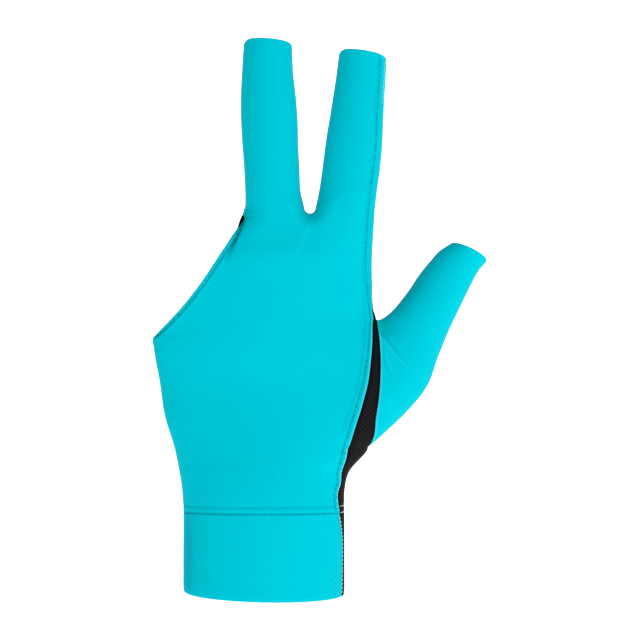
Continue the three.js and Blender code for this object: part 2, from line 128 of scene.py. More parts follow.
class Table:
    """Smooth curves through the rows of one table, all along its first column.

    Between two rows each curve is a cubic whose slope at a row is the mean of the slopes of the
    straight lines on either side of it. Outside the rows it keeps its end value.
    """

    def __init__(self, names: str, rows: Sequence[Sequence[float]]) -> None:
        """Keeps the rows and works out the slope at each.

        Args:
            names: The columns' names, the first that of the keys.
            rows: The rows, each a key and its values.
        """
        self.names = names.split()[1:]
        cells = np.array(rows, float)
        self.keys, self.values = cells[:, 0], cells[:, 1:]
        chords = np.diff(self.values, axis=0) / np.diff(self.keys)[:, None]
        means = (chords[1:] + chords[:-1]) / 2
        self.slopes = np.concatenate([chords[:1], means, chords[-1:]])

    def __call__(self, at: Array) -> dict[str, Array]:
        """Reads the curves.

        Args:
            at: The keys asked for.

        Returns:
            Every column's value at each key, by the column's name.
        """
        at = np.clip(np.asarray(at, float), self.keys[0], self.keys[-1])
        row = np.clip(np.searchsorted(self.keys, at, side="right") - 1, 0, len(self.keys) - 2)
        step = (self.keys[row + 1] - self.keys[row])[..., None]
        t = (at - self.keys[row])[..., None] / step
        value = (
            (2 * t**3 - 3 * t**2 + 1) * self.values[row]
            + (t**3 - 2 * t**2 + t) * step * self.slopes[row]
            + (3 * t**2 - 2 * t**3) * self.values[row + 1]
            + (t**3 - t**2) * step * self.slopes[row + 1]
        )
        return {name: value[..., i] for i, name in enumerate(self.names)}


# Edges of the hand from its back. little_side, thumb_side: 0 at the wrist's edge, 1 at the
# palm's or the thumb root's.
HAND_EDGES = Table(
    "rise little_side thumb_side",
    [
        (-0.15, 0.0, 0.0),
        (0.0, 0.0, 0.0),
        (0.07, 0.04, 0.01),
        (0.13, 0.13, 0.2),
        (0.21, 0.29, 1.0),
        (0.32, 0.61, 1.0),
        (0.43, 0.77, 1.0),
        (0.55, 0.97, 1.0),
        (0.64, 1.0, 1.0),
        (1.0, 1.0, 1.0),
    ],
)

# Width of the mesh that shows before the thumb's seam, a share of the palm's width.
MESH_STRIP = Table(
    "rise strip",
    [
        (-0.28, 0.009),
        (-0.2, 0.0065),
        (-0.08, 0.007),
        (-0.03, 0.0138),
        (0.03, 0.0265),
        (0.065, 0.03),
        (0.1, 0.0235),
        (0.134, 0.038),
        (0.165, 0.0605),
        (0.203, 0.093),
        (0.242, 0.1015),
        (0.32, 0.0795),
        (0.385, 0.0652),
        (0.425, 0.0559),
        (0.466, 0.0498),
        (0.506, 0.0445),
        (0.553, 0.037),
        (0.63, 0.0245),
        (0.667, 0.0095),
        (0.707, 0.004),
        (0.745, 0.0),
        (1.0, 0.0),
    ],
)

# Distance from the back's folded edge to its stitches and to the end of the doubled cloth, as it
# shows from in front, a share of the palm's width.
FOLD_ROWS = Table(
    "rise topstitch turning",
    [
        (0.0, 0.016, 0.03),
        (0.05, 0.016, 0.034),
        (0.235, 0.024, 0.048),
        (0.388, 0.0247, 0.0494),
        (0.556, 0.0155, 0.04),
        (0.674, 0.0125, 0.034),
        (0.742, 0.02, 0.035),
        (0.82, 0.0255, 0.036),
        (1.0, 0.0259, 0.036),
    ],
)

# Depth of the hand in front of its middle and behind it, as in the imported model.
HAND_DEPTHS = Table(
    "rise wrist back palm turn fullness",
    [
        (0.0, 1.0, 0.0, 0.0, 0.0, 0.88),
        (0.07, 0.9, 0.05, 0.06, 0.01, 0.88),
        (0.13, 0.76, 0.12, 0.15, 0.03, 0.87),
        (0.21, 0.5, 0.25, 0.31, 0.07, 0.84),
        (0.32, 0.18, 0.41, 0.5, 0.11, 0.8),
        (0.43, 0.0, 0.49, 0.61, 0.13, 0.76),
        (0.55, 0.0, 0.47, 0.59, 0.11, 0.75),
        (0.64, 0.0, 0.45, 0.56, 0.07, 0.76),
        (0.76, 0.0, 0.42, 0.5, 0.02, 0.79),
        (0.89, 0.0, 0.39, 0.44, 0.0, 0.85),
        (1.0, 0.0, 0.35, 0.38, 0.0, 0.9),
    ],
)

# The edge between the thumb and the index finger, and the two hems of the side opening.
THUMB_SIDE = Table(
    "along dip",
    [(0.0, 0.0), (0.07, 0.014), (0.15, 0.018), (0.35, 0.021), (0.55, 0.019), (0.8, 0.009), (1.0, 0.0)],
)
HEMS = Table(
    "along back palm",
    [
        (0.0, 0.0, 0.0),
        (0.2, 0.034, 0.055),
        (0.42, 0.046, 0.075),
        (0.7, 0.036, 0.045),
        (0.85, 0.028, 0.024),
        (0.92, 0.0245, 0.009),
        (0.96, 0.019, 0.003),
        (1.0, 0.0, 0.0),
    ],
)

# Edges and depth of the fingers from the web, as shares of their width. inner: the edge beside
# the web, past the half circle that the web itself makes. outer: the other edge.
MIDDLE_EDGES = Table(
    "along outer inner depth",
    [
        (0.0, -1.249, 0.0, 1.04),
        (0.012, -1.228, 0.0, 1.04),
        (0.03, -1.214, -0.003, 1.04),
        (0.05, -1.21, -0.017, 1.04),
        (0.13, -1.212, -0.073, 1.03),
        (0.27, -1.238, -0.095, 1.01),
        (0.41, -1.275, -0.118, 1.0),
        (0.55, -1.3, -0.13, 0.98),
        (0.69, -1.302, -0.165, 0.96),
        (0.83, -1.283, -0.215, 0.94),
        (1.0, -1.257, -0.24, 0.93),
    ],
)
INDEX_EDGES = Table(
    "along outer inner depth",
    [
        (0.0, 1.25, 0.0, 1.04),
        (0.03, 1.257, 0.003, 1.04),
        (0.05, 1.265, 0.017, 1.04),
        (0.13, 1.29, 0.074, 1.03),
        (0.28, 1.352, 0.148, 1.01),
        (0.43, 1.4, 0.209, 0.99),
        (0.58, 1.425, 0.286, 0.97),
        (0.73, 1.448, 0.36, 0.95),
        (0.88, 1.482, 0.428, 0.93),
        (1.0, 1.5, 0.464, 0.93),
    ],
)

# Sections of the thumb between its upper and its lower edge.
THUMB_SECTIONS = Table(
    "along upper_out upper_up lower_out lower_up depth shift",
    [
        (0.0, 0.0, 0.0, 0.0, 0.0, 0.54, 0.12),
        (0.06, 0.036, 0.003, 0.12, 0.06, 0.54, 0.15),
        (0.14, 0.083, 0.044, 0.305, 0.156, 0.53, 0.19),
        (0.28, 0.152, 0.135, 0.505, 0.29, 0.51, 0.24),
        (0.42, 0.221, 0.259, 0.605, 0.437, 0.48, 0.28),
        (0.57, 0.297, 0.409, 0.697, 0.563, 0.45, 0.32),
        (0.72, 0.381, 0.598, 0.795, 0.678, 0.43, 0.35),
        (0.86, 0.485, 0.788, 0.912, 0.81, 0.41, 0.37),
        (0.93, 0.549, 0.891, 0.96, 0.858, 0.4, 0.38),
        (1.0, 0.645, 0.985, 1.03, 0.905, 0.4, 0.39),
    ],
)


class Face(Enum):
    """The hand's two faces: the sign of Y in front of its middle and behind it."""

    BACK = -1
    PALM = 1


@dataclass(frozen=True)
class Finger:
    """One finger sleeve above the web."""

    edges: Table
    length: float
    width: float
    lean: float  # slant of its open end, degrees
    first_column: int  # column of the hand's back that it starts at


@dataclass(frozen=True)
class Bow:
    """Cloth bowed over the hand between two edges, part of a squared-off ellipse.

    x = middle + spread cos(angle) and depth = deep (1 - ((x - middle) / spread)^2)^(fullness/2).
    The angle runs from start at the left edge down to end at the right edge.
    """

    left_x: Array
    left_gap: Array
    right_x: Array
    right_gap: Array
    deep: Array
    fullness: Array

    @staticmethod
    def _angle(gap: Array, deep: Array, fullness: Array) -> Array:
        """Angle at which the section has come down to an edge's own gap."""
        return np.arcsin(np.clip(gap / deep, 0, 1) ** (1 / fullness))

    @cached_property
    def start(self) -> Array:
        """Angle at the left edge."""
        return np.pi - self._angle(self.left_gap, self.deep, self.fullness)

    @cached_property
    def end(self) -> Array:
        """Angle at the right edge."""
        return self._angle(self.right_gap, self.deep, self.fullness)

    @cached_property
    def spread(self) -> Array:
        """Half the ellipse's width."""
        return (self.right_x - self.left_x) / (np.cos(self.end) - np.cos(self.start))

    @cached_property
    def middle(self) -> Array:
        """Where the ellipse's centre lies across the hand."""
        return self.left_x - self.spread * np.cos(self.start)

    def x(self, angle: Array) -> Array:
        """Place across the hand at an angle."""
        return self.middle + self.spread * np.cos(angle)

    def angle(self, x: Array) -> Array:
        """Angle at a place across the hand."""
        return np.arccos(np.clip((x - self.middle) / self.spread, -1, 1))

    def depth(self, x: Array) -> Array:
        """Distance from the hand's middle at a place across it."""
        inside = np.maximum(0, 1 - ((x - self.middle) / self.spread) ** 2)
        return self.deep * inside ** (self.fullness / 2)


@dataclass(frozen=True)
class GloveForm:
    """The glove's outer form as formulas over rows, columns, rings and turns.

    The hand has rows from the mouth (0) to the web (LAST), and columns from the little-finger
    edge. Fingers and thumb have rings, given as a share of their length, and turns round them.
    """

    cuff_height: float = 31.3
    wrist_width: float = 61.6
    wrist_depth: float = 40.0
    mouth_tilt: float = 1.0  # how far the mouth is lower in front and higher behind
    palm_height: float = 113.5
    palm_width: float = 85.0
    palm_depth: float = 30.0
    web_x: float = 17.6
    web_rounding: float = 12.0  # height over which the hand parts into two fingers
    side_packing: float = 1.2  # power that crowds the rows above the thumb's seam towards it
    turn_from: float = 0.35  # share of the hand's width from which it turns to the palm
    root_rise: float = 24.0  # from the cuff's seam to the lower end of the thumb's
    root_length: float = 49.0  # height of the thumb's seam
    root_low_x: float = 40.2
    root_top_x: float = 43.4
    root_bulge: float = 2.4  # how far that seam bows out between its ends
    root_open: float = 0.9  # how far it opens, a share of the hand's depth
    opening_rise: float = 65.8  # from the cuff's seam to the side opening
    opening_open: float = 0.92  # how far that opens, a share of the hand's depth
    finger_depth: float = 18.0
    finger_flex: float = 8.0  # degrees that the fingers bend to the palm
    flex_power: float = 1.4  # 1 for a straight slant, more for a bend that grows to the tip
    flex_settled: float = 0.35  # share of a finger over which its rings come to slant
    thumb_reach: float = 44.6  # what the out columns of THUMB_SECTIONS are shares of
    thumb_rise: float = 29.7  # and its upper_up column
    thumb_depth: float = 24.0
    thumb_flex: float = 10.5  # slant of the thumb's open end, degrees
    thumb_flex_from: float = 0.3  # share of the thumb from which its rings slant
    thumb_blend: float = 0.35  # share of the thumb over which it leaves its seam's own shape
    web_round: float = 2.0  # radius of the web's half circle
    saddle: float = 6.5  # distance from the web's edge over which the cloth rises to full depth
    saddle_fade: float = 0.15  # share of a finger over which its own section takes over
    finger_rise: float = 20.0  # height below the web over which the knuckles rise from the hand
    tip_drops: tuple[float, float] = (1.5, 0.5)  # how far a finger's raw end is lower at its sides
    tip_square: float = 0.65  # how square the raw ends stand to the bent fingers
    drop_from: float = 0.9  # share of a finger from which its sides drop
    drop_power: int = 8  # how close to the sides that drop keeps
    squaring: float = 0.85  # power that squares the fingers' and the thumb's sections
    mouth_roll: float = 0.7  # how far the mouth is lower on the thumb's side
    joint_rise: tuple[float, float] = (-0.9, 0.4)  # warp of the cuff's seam at the sides, in front
    joint_reach: float = 7.0  # height over which that warp fades
    middle: Finger = Finger(MIDDLE_EDGES, 66.7, 20.5, 4.0, 0)
    index: Finger = Finger(INDEX_EDGES, 62.1, 19.6, 8.0, 10)

    # Rows, from the mouth up.
    CUFF: int = 4  # the cuff's seam
    ROOT: int = 9  # lower end of the thumb's seam
    OPENING: int = 18  # lower corner of the side opening
    CROTCH: int = 21  # upper end of the thumb's seam
    SIDE: int = 25  # where the web's rounding starts
    LAST: int = 29  # the web

    # Numbers of columns.
    FINGER: int = 10  # over half of a finger
    BACK: int = 20
    STRIP: int = 2
    PALM: int = 18

    @cached_property
    def root_low_z(self) -> float:
        """Height of the lower end of the thumb's seam."""
        return self.cuff_height + self.root_rise

    @cached_property
    def root_top_z(self) -> float:
        """Height of the upper end of the thumb's seam, the crotch."""
        return self.root_low_z + self.root_length

    @cached_property
    def opening_z(self) -> float:
        """Height of the side opening's lower corner."""
        return self.cuff_height + self.opening_rise

    @cached_property
    def web_z(self) -> float:
        """Height of the web between the two fingers."""
        return self.cuff_height + self.palm_height

    def root_angle(self, row: Array) -> Array:
        """Angle round the thumb's seam, from its lower end to its upper end."""
        return np.pi * np.clip((row - self.ROOT) / (self.CROTCH - self.ROOT), 0, 1)

    def web_angle(self, row: Array) -> Array:
        """Quarter turn over which the hand parts into two fingers."""
        return np.pi / 2 * np.clip((row - self.SIDE) / (self.LAST - self.SIDE), 0, 1)

    def row_height(self, row: Array) -> Array:
        """Height of a row.

        Rows are even over the cuff and the wrist, a cosine apart beside the thumb's seam, crowded
        towards the thumb above it and a sine apart over the web's rounding.

        Args:
            row: Row numbers.

        Returns:
            Heights in mm.
        """
        cuff = self.cuff_height * row / self.CUFF
        wrist = self.cuff_height + self.root_rise * (row - self.CUFF) / (self.ROOT - self.CUFF)
        root = self.root_low_z + self.root_length * (1 - np.cos(self.root_angle(row))) / 2
        share = np.clip((row - self.CROTCH) / (self.SIDE - self.CROTCH), 0, 1) ** self.side_packing
        side = lerp(self.root_top_z, self.web_z - self.web_rounding, share)
        web = self.web_z - self.web_rounding * (1 - np.sin(self.web_angle(row)))
        stretches = [row <= self.CUFF, row <= self.ROOT, row <= self.CROTCH, row <= self.SIDE]
        return np.select(stretches, [cuff, wrist, root, side], web)

    def _left_edges(self, row: Array, height: Array, deep: dict[Face, Array]) -> dict[Face, tuple]:
        """The little-finger edge: one line below the opening, two hems along it.

        Args:
            row: Row numbers.
            height: The rows' heights.
            deep: Depth of the hand at those rows, by face.

        Returns:
            For each face, the edge's place across the hand and its distance from the middle.
        """
        along = np.clip((height - self.opening_z) / (self.web_z - self.opening_z), 0, 1)
        top_x = self.web_x + self.middle.edges(0.0)["outer"] * self.middle.width
        straight = lerp(-self.palm_width / 2, top_x, along)
        opened = self.opening_open * np.sqrt(np.maximum(0, 1 - (2 * along - 1) ** 2))
        cut = HEMS(along)
        side = HAND_EDGES((height - self.cuff_height) / self.palm_height)["little_side"]
        below = -lerp(self.wrist_width / 2, self.palm_width / 2, side)
        edges = {}
        for face, name in ((Face.BACK, "back"), (Face.PALM, "palm")):
            x = np.where(row <= self.OPENING, below, straight + cut[name] * self.palm_width)
            edges[face] = (x, np.where(row <= self.OPENING, 0, opened * deep[face]))
        return edges

    def _right_edges(self, row: Array, height: Array, deep: dict[Face, Array]) -> dict[Face, tuple]:
        """The thumb's edge: the wrist, the loop of the thumb's seam, and the hand above it.

        Args:
            row: Row numbers.
            height: The rows' heights.
            deep: Depth of the hand at those rows, by face.

        Returns:
            For each face, the edge's place across the hand and its distance from the middle.
        """
        angle = self.root_angle(row)
        straight = lerp(self.root_low_x, self.root_top_x, (1 - np.cos(angle)) / 2)
        root = straight + self.root_bulge * np.sin(angle) ** 2
        side = HAND_EDGES((height - self.cuff_height) / self.palm_height)["thumb_side"]
        below = lerp(self.wrist_width / 2, root, side)
        along = np.clip((height - self.root_top_z) / (self.web_z - self.root_top_z), 0, 1)
        top_x = self.web_x + self.index.edges(0.0)["outer"] * self.index.width
        dip = THUMB_SIDE(along)["dip"] * self.palm_width
        above = lerp(self.root_top_x, top_x, along) - dip
        x = np.where(row <= self.CROTCH, below, above)
        opened = self.root_open * np.sin(angle)
        return {face: (x, np.where(row <= self.CROTCH, opened * deep[face], 0)) for face in Face}

    def hand(self, row: Any, column: Any, face: Face) -> Array:
        """Points of the hand's skin.

        Across a row the skin follows one bow from edge to edge. Below the web that bow parts
        into one for each finger, and all round the web it closes as web_share says. The thumb's
        side turns to the palm.

        Args:
            row: Row numbers, from 0 at the mouth to LAST at the web.
            column: For the back 0 to BACK on the back panel and on to BACK + STRIP over the
                strip of mesh, and for the palm 0 to PALM from the thumb's side.
            face: Which of the two.

        Returns:
            The points, one for each row and column, broadcast together.
        """
        row, column = np.broadcast_arrays(np.asarray(row, float), np.asarray(column, float))
        height = self.row_height(row)
        rise = (height - self.cuff_height) / self.palm_height
        shape = HAND_DEPTHS(rise)
        wrist = shape["wrist"] * self.wrist_depth / 2
        deep = {
            Face.BACK: wrist + shape["back"] * self.palm_depth,
            Face.PALM: wrist + shape["palm"] * self.palm_depth,
        }
        left, right = self._left_edges(row, height, deep), self._right_edges(row, height, deep)
        fingering = eased(row, self.CROTCH, self.LAST)
        knuckles = 1 - eased(self.web_z - height, 0, self.finger_rise)
        half = self.middle.edges(0.0)["depth"] * self.finger_depth / 2
        web = np.full_like(row, self.web_x)
        none, elliptical = np.zeros_like(row), np.ones_like(row)
        whole, fingers = {}, {}
        for side in Face:
            whole[side] = Bow(*left[side], *right[side], deep[side], shape["fullness"])
            beside = [
                Bow(*left[side], web, none, np.maximum(half, left[side][1]), elliptical),
                Bow(web, none, *right[side], np.maximum(half, right[side][1]), elliptical),
            ]
            fingers[side] = beside
        back, palm = whole[Face.BACK], whole[Face.PALM]
        inset = MESH_STRIP(rise)["strip"] * self.palm_width
        seam = back.angle(right[Face.BACK][0] - inset)
        wrapped = np.pi * self.STRIP / self.FINGER * fingering
        beyond = row > self.CROTCH
        if face is Face.BACK:
            over = column > self.BACK
            share = (column - self.BACK) / self.STRIP
            wrap = np.where(beyond, -wrapped, back.end)
            on_back = lerp(back.start, seam, np.minimum(column / self.BACK, 1))
            angle = np.where(over, lerp(seam, wrap, share), on_back)
            place = np.where(over, 2 - (column - self.BACK) / self.FINGER, column / self.FINGER)
            rear = angle < 0
        else:
            angle = lerp(np.where(beyond, wrapped, palm.end), palm.start, column / self.PALM)
            place = 2 - (column + self.STRIP) / self.FINGER
            rear = np.ones_like(row, bool)
        points = {}
        for side in Face:
            on_hand = whole[side].x(np.abs(angle))
            first, second = fingers[side]
            on_first = first.x(lerp(first.start, first.end, np.clip(place, 0, 1)))
            on_second = second.x(lerp(second.start, second.end, np.clip(place - 1, 0, 1)))
            x = lerp(on_hand, np.where(place < 1, on_first, on_second), fingering)
            on_middle = first.depth(np.minimum(x, first.middle))
            on_index = second.depth(np.maximum(x, second.middle))
            finger_depth = np.where(x < self.web_x, on_middle, on_index)
            depth = lerp(whole[side].depth(x), finger_depth, knuckles)
            depth = depth * self.web_share(x, height, 0.0, self.saddle)
            across = (x - left[side][0]) / (right[side][0] - left[side][0])
            turned = shape["turn"] * self.palm_depth * eased(across, self.turn_from, 1)
            y = turned + side.value * depth
            points[side] = np.stack([x, y, self._tilted(x, y, height)], -1)
        return np.where(rear[..., None], points[Face.PALM], points[Face.BACK])

    def web_share(self, x: Array, z: Array, grown: Array, reach: Array) -> Array:
        """Share of its full depth that the cloth has beside the web.

        It rises from the web's edge as a quarter ellipse: sqrt(1 - (1 - d/reach)^2), where d is
        the distance from the edge: a half circle with its bottom at the web, and upright above.

        Args:
            x: Place across the hand.
            z: Height.
            grown: How much further out the edge lies than the half circle.
            reach: Distance over which the full depth is reached.

        Returns:
            Shares from 0 to 1.
        """
        centre = self.web_z + self.web_round
        out = abs(x - self.web_x) - grown
        distance = np.hypot(np.maximum(out, 0), np.maximum(centre - z, 0)) - self.web_round
        return np.sqrt(1 - (1 - np.clip(distance / reach, 0, 1)) ** 2)

    def _tilted(self, x: Array, y: Array, z: Array) -> Array:
        """Adds the mouth's slant and the warp of the cuff's seam.

        Args:
            x: Place across the hand.
            y: Place behind its middle.
            z: Height before.

        Returns:
            Heights after.
        """
        fade = np.clip(1 - z / self.cuff_height, 0, 1)
        slant = self.mouth_tilt * y / self.wrist_depth - self.mouth_roll * x / self.wrist_width
        forward = -2 * y / self.wrist_depth
        sides, front = self.joint_rise
        warp = np.where(forward > 0, lerp(sides, front, forward), sides * (1 + forward))
        return z + 2 * slant * fade + warp * bell(z - self.cuff_height, self.joint_reach)

    def finger(self, finger: Finger, along: Any, turn: Any) -> Array:
        """Points of a finger sleeve.

        Each ring is a squared-off half ellipse in front and one behind, moved towards the palm as
        the finger bends and slanted with it. Near the web its inner half follows web_share, and
        the first ring is the hand's last row.

        Args:
            finger: Which finger.
            along: Share of its length above the web.
            turn: 0 on the little-finger side, FINGER on the thumb side, 2 FINGER home again.

        Returns:
            The points, one for each ring and turn.
        """
        along, turn = np.broadcast_arrays(np.asarray(along, float), np.asarray(turn, float))
        section = finger.edges(along)
        rise = along * finger.length
        settled = eased(along, 0, self.saddle_fade)
        web_side = 1 if finger.first_column == 0 else -1
        inner, outer = section["inner"] * finger.width, section["outer"] * finger.width
        middle = (inner + outer - web_side * self.web_round * settled) / 2
        below = 1 - np.clip(rise / self.web_round, 0, 1)
        web_edge = inner - web_side * self.web_round * np.sqrt(1 - below**2)
        angle = np.pi * (1 - turn / self.FINGER)
        beside_web = web_side * np.cos(angle) > 0
        x = np.where(beside_web, web_edge - middle, outer - middle) * abs(np.cos(angle))
        reach = lerp(self.saddle, abs(web_edge - middle), settled)
        web = self.web_share(self.web_x + middle + x, self.web_z + rise, -web_side * inner, reach)
        bowed = np.where(beside_web, web, abs(np.sin(angle))) ** lerp(1, self.squaring, settled)
        flex = np.tan(np.radians(self.finger_flex))
        y = -section["depth"] * self.finger_depth * np.sign(np.sin(angle)) * bowed / 2
        settled = eased(along, 0, self.flex_settled)
        drop = np.where(np.cos(angle) < 0, *self.tip_drops) * np.cos(angle) ** self.drop_power
        leaning = x * np.tan(np.radians(finger.lean)) + y * flex * self.tip_square
        slant = settled * leaning + drop * eased(along, self.drop_from, 1)
        bent = y + finger.length * flex * along**self.flex_power
        return np.stack([self.web_x + middle + x, bent, self.web_z + rise - slant], -1)

    def thumb(self, along: Any, turn: Any) -> Array:
        """Points of the thumb's sleeve.

        Each ring is a squared-off ellipse between a point on the thumb's upper edge and one on its
        lower edge. What the seam differs from the first ellipse by is added to it and fades out.

        Args:
            along: Share of the thumb's length from its seam.
            turn: 0 at the seam's lower end, half way at the crotch, home again behind.

        Returns:
            The points, one for each ring and turn.
        """
        along, turn = np.broadcast_arrays(np.asarray(along, float), np.asarray(turn, float))
        turns = self.CROTCH - self.ROOT
        section = THUMB_SECTIONS(along)
        full_rise = self.root_length + self.thumb_rise
        upper_x = self.root_top_x + section["upper_out"] * self.thumb_reach
        upper_z = self.root_top_z + section["upper_up"] * self.thumb_rise
        lower_x = self.root_low_x + section["lower_out"] * self.thumb_reach
        lower_z = self.root_low_z + section["lower_up"] * full_rise
        half_x, half_z = (upper_x - lower_x) / 2, (upper_z - lower_z) / 2
        size = np.maximum(np.hypot(half_x, half_z), TINY)
        angle = np.pi * turn / turns
        power = lerp(1, self.squaring, eased(along, 0, self.thumb_blend))
        bowed = np.sign(np.sin(angle)) * abs(np.sin(angle)) ** power
        forward = section["depth"] * self.thumb_depth * bowed
        slant = np.tan(np.radians(self.thumb_flex)) * eased(along, self.thumb_flex_from, 1)
        x = (upper_x + lower_x) / 2 - half_x * np.cos(angle) + half_z / size * forward * slant
        z = (upper_z + lower_z) / 2 - half_z * np.cos(angle) - half_x / size * forward * slant
        ring = np.stack([x, section["shift"] * self.palm_depth - forward, z], -1)
        first = self._thumb_start(angle)
        rear = turn > turns
        back = self.hand(self.ROOT + np.minimum(turn, turns), self.BACK + self.STRIP, Face.BACK)
        palm = self.hand(self.CROTCH - np.clip(turn - turns, 0, turns), 0, Face.PALM)
        base = np.where(rear[..., None], palm, back)
        return ring + (base - first) * (1 - eased(along, 0, self.thumb_blend))[..., None]

    def _thumb_start(self, angle: Array) -> Array:
        """The ellipse that the thumb's sections start from, in the plane of its seam's ends.

        Args:
            angle: Angles round it, 0 at the lower end.

        Returns:
            The points.
        """
        start = THUMB_SECTIONS(0.0)
        lean = self.root_top_x - self.root_low_x
        return np.stack(
            [
                (self.root_top_x + self.root_low_x - lean * np.cos(angle)) / 2,
                start["shift"] * self.palm_depth - start["depth"] * self.thumb_depth * np.sin(angle),
                (self.root_top_z + self.root_low_z - self.root_length * np.cos(angle)) / 2,
            ],
            -1,
        )


class Edge(Enum):
    """The lines on the skin that carry a seam, a hem, a fold or a cut."""

    RADIAL = "the back's folded edge beside the mesh and up the index finger"
    CUFF_RADIAL = "the same edge down the cuff"
    LITTLE_SIDE = "seam below the side opening"
    CUFF_LITTLE_SIDE = "the same seam down the cuff"
    JOINT = "seam between the cuff and the hand"
    MOUTH = "fold round the cuff's mouth"
    BACK_HEM = "the opening's hem on the back"
    PALM_HEM = "the opening's hem on the palm"
    THUMB = "seam round the thumb's root"
    MIDDLE_OUTER = "the middle finger's seam beside the opening"
    MIDDLE_INNER = "the middle finger's seam beside the web"
    INDEX_INNER = "the index finger's seam beside the web"
    FINGER_ROOT = "seam of the mesh and the fingers' undersides"


class EdgeLines:
    """Every edge of the form as a dense line of points."""

    def __init__(self, form: GloveForm) -> None:
        """Works the lines out from the form's formulas.

        Args:
            form: The glove's form.
        """
        cuff = np.linspace(0, form.CUFF, 160)
        hand = np.linspace(form.CUFF, form.LAST, 700)
        low = np.linspace(form.CUFF, form.OPENING, 320)
        high = np.linspace(form.OPENING, form.LAST, 320)
        along = np.linspace(0, 1, 320)
        turn = np.linspace(0, 2 * (form.CROTCH - form.ROOT), 400)
        seam = form.hand(hand, form.BACK, Face.BACK)
        root_row = [
            form.hand(form.LAST, np.linspace(form.BACK, form.BACK + form.STRIP, 40), Face.BACK),
            form.hand(form.LAST, np.linspace(0, form.PALM, 240), Face.PALM),
        ]
        self.points = {
            Edge.RADIAL: np.concatenate([seam, form.finger(form.index, along, form.FINGER)[1:]]),
            Edge.CUFF_RADIAL: form.hand(cuff, form.BACK, Face.BACK),
            Edge.LITTLE_SIDE: form.hand(low, 0, Face.BACK),
            Edge.CUFF_LITTLE_SIDE: form.hand(cuff, 0, Face.BACK),
            Edge.JOINT: self._round(form, form.CUFF),
            Edge.MOUTH: self._round(form, 0),
            Edge.BACK_HEM: form.hand(high, 0, Face.BACK),
            Edge.PALM_HEM: form.hand(high, form.PALM, Face.PALM),
            Edge.THUMB: form.thumb(0, turn),
            Edge.MIDDLE_OUTER: form.finger(form.middle, along, 0),
            Edge.MIDDLE_INNER: form.finger(form.middle, along, form.FINGER),
            Edge.INDEX_INNER: form.finger(form.index, along, 0),
            Edge.FINGER_ROOT: np.concatenate(root_row),
        }

    @staticmethod
    def _round(form: GloveForm, row: int) -> Array:
        """A line the whole way round the hand at one row."""
        front = form.hand(row, np.linspace(0, form.BACK + form.STRIP, 500), Face.BACK)
        return np.concatenate([front, form.hand(row, np.linspace(0, form.PALM, 400), Face.PALM)[1:]])


@dataclass(frozen=True)
class Patch:
    """A grid of the skin that belongs to one panel, rows upwards and columns to the right."""

    panel: str
    points: Array
    origin: int  # column from which the knit's width is measured
    height: Array  # how far up the knit each row lies, mm

    def knit(self) -> Array:
        """Where each point lies in the knit.

        Returns:
            Length along the point's row from the origin's column and up the rows, in mm.
        """
        steps = np.linalg.norm(np.diff(self.points, axis=1), axis=2)
        across = np.concatenate([np.zeros((len(steps), 1)), np.cumsum(steps, axis=1)], axis=1)
        across -= across[:, self.origin : self.origin + 1]
        up = np.broadcast_to(self.height[:, None], across.shape)
        return np.stack([across, up], -1)


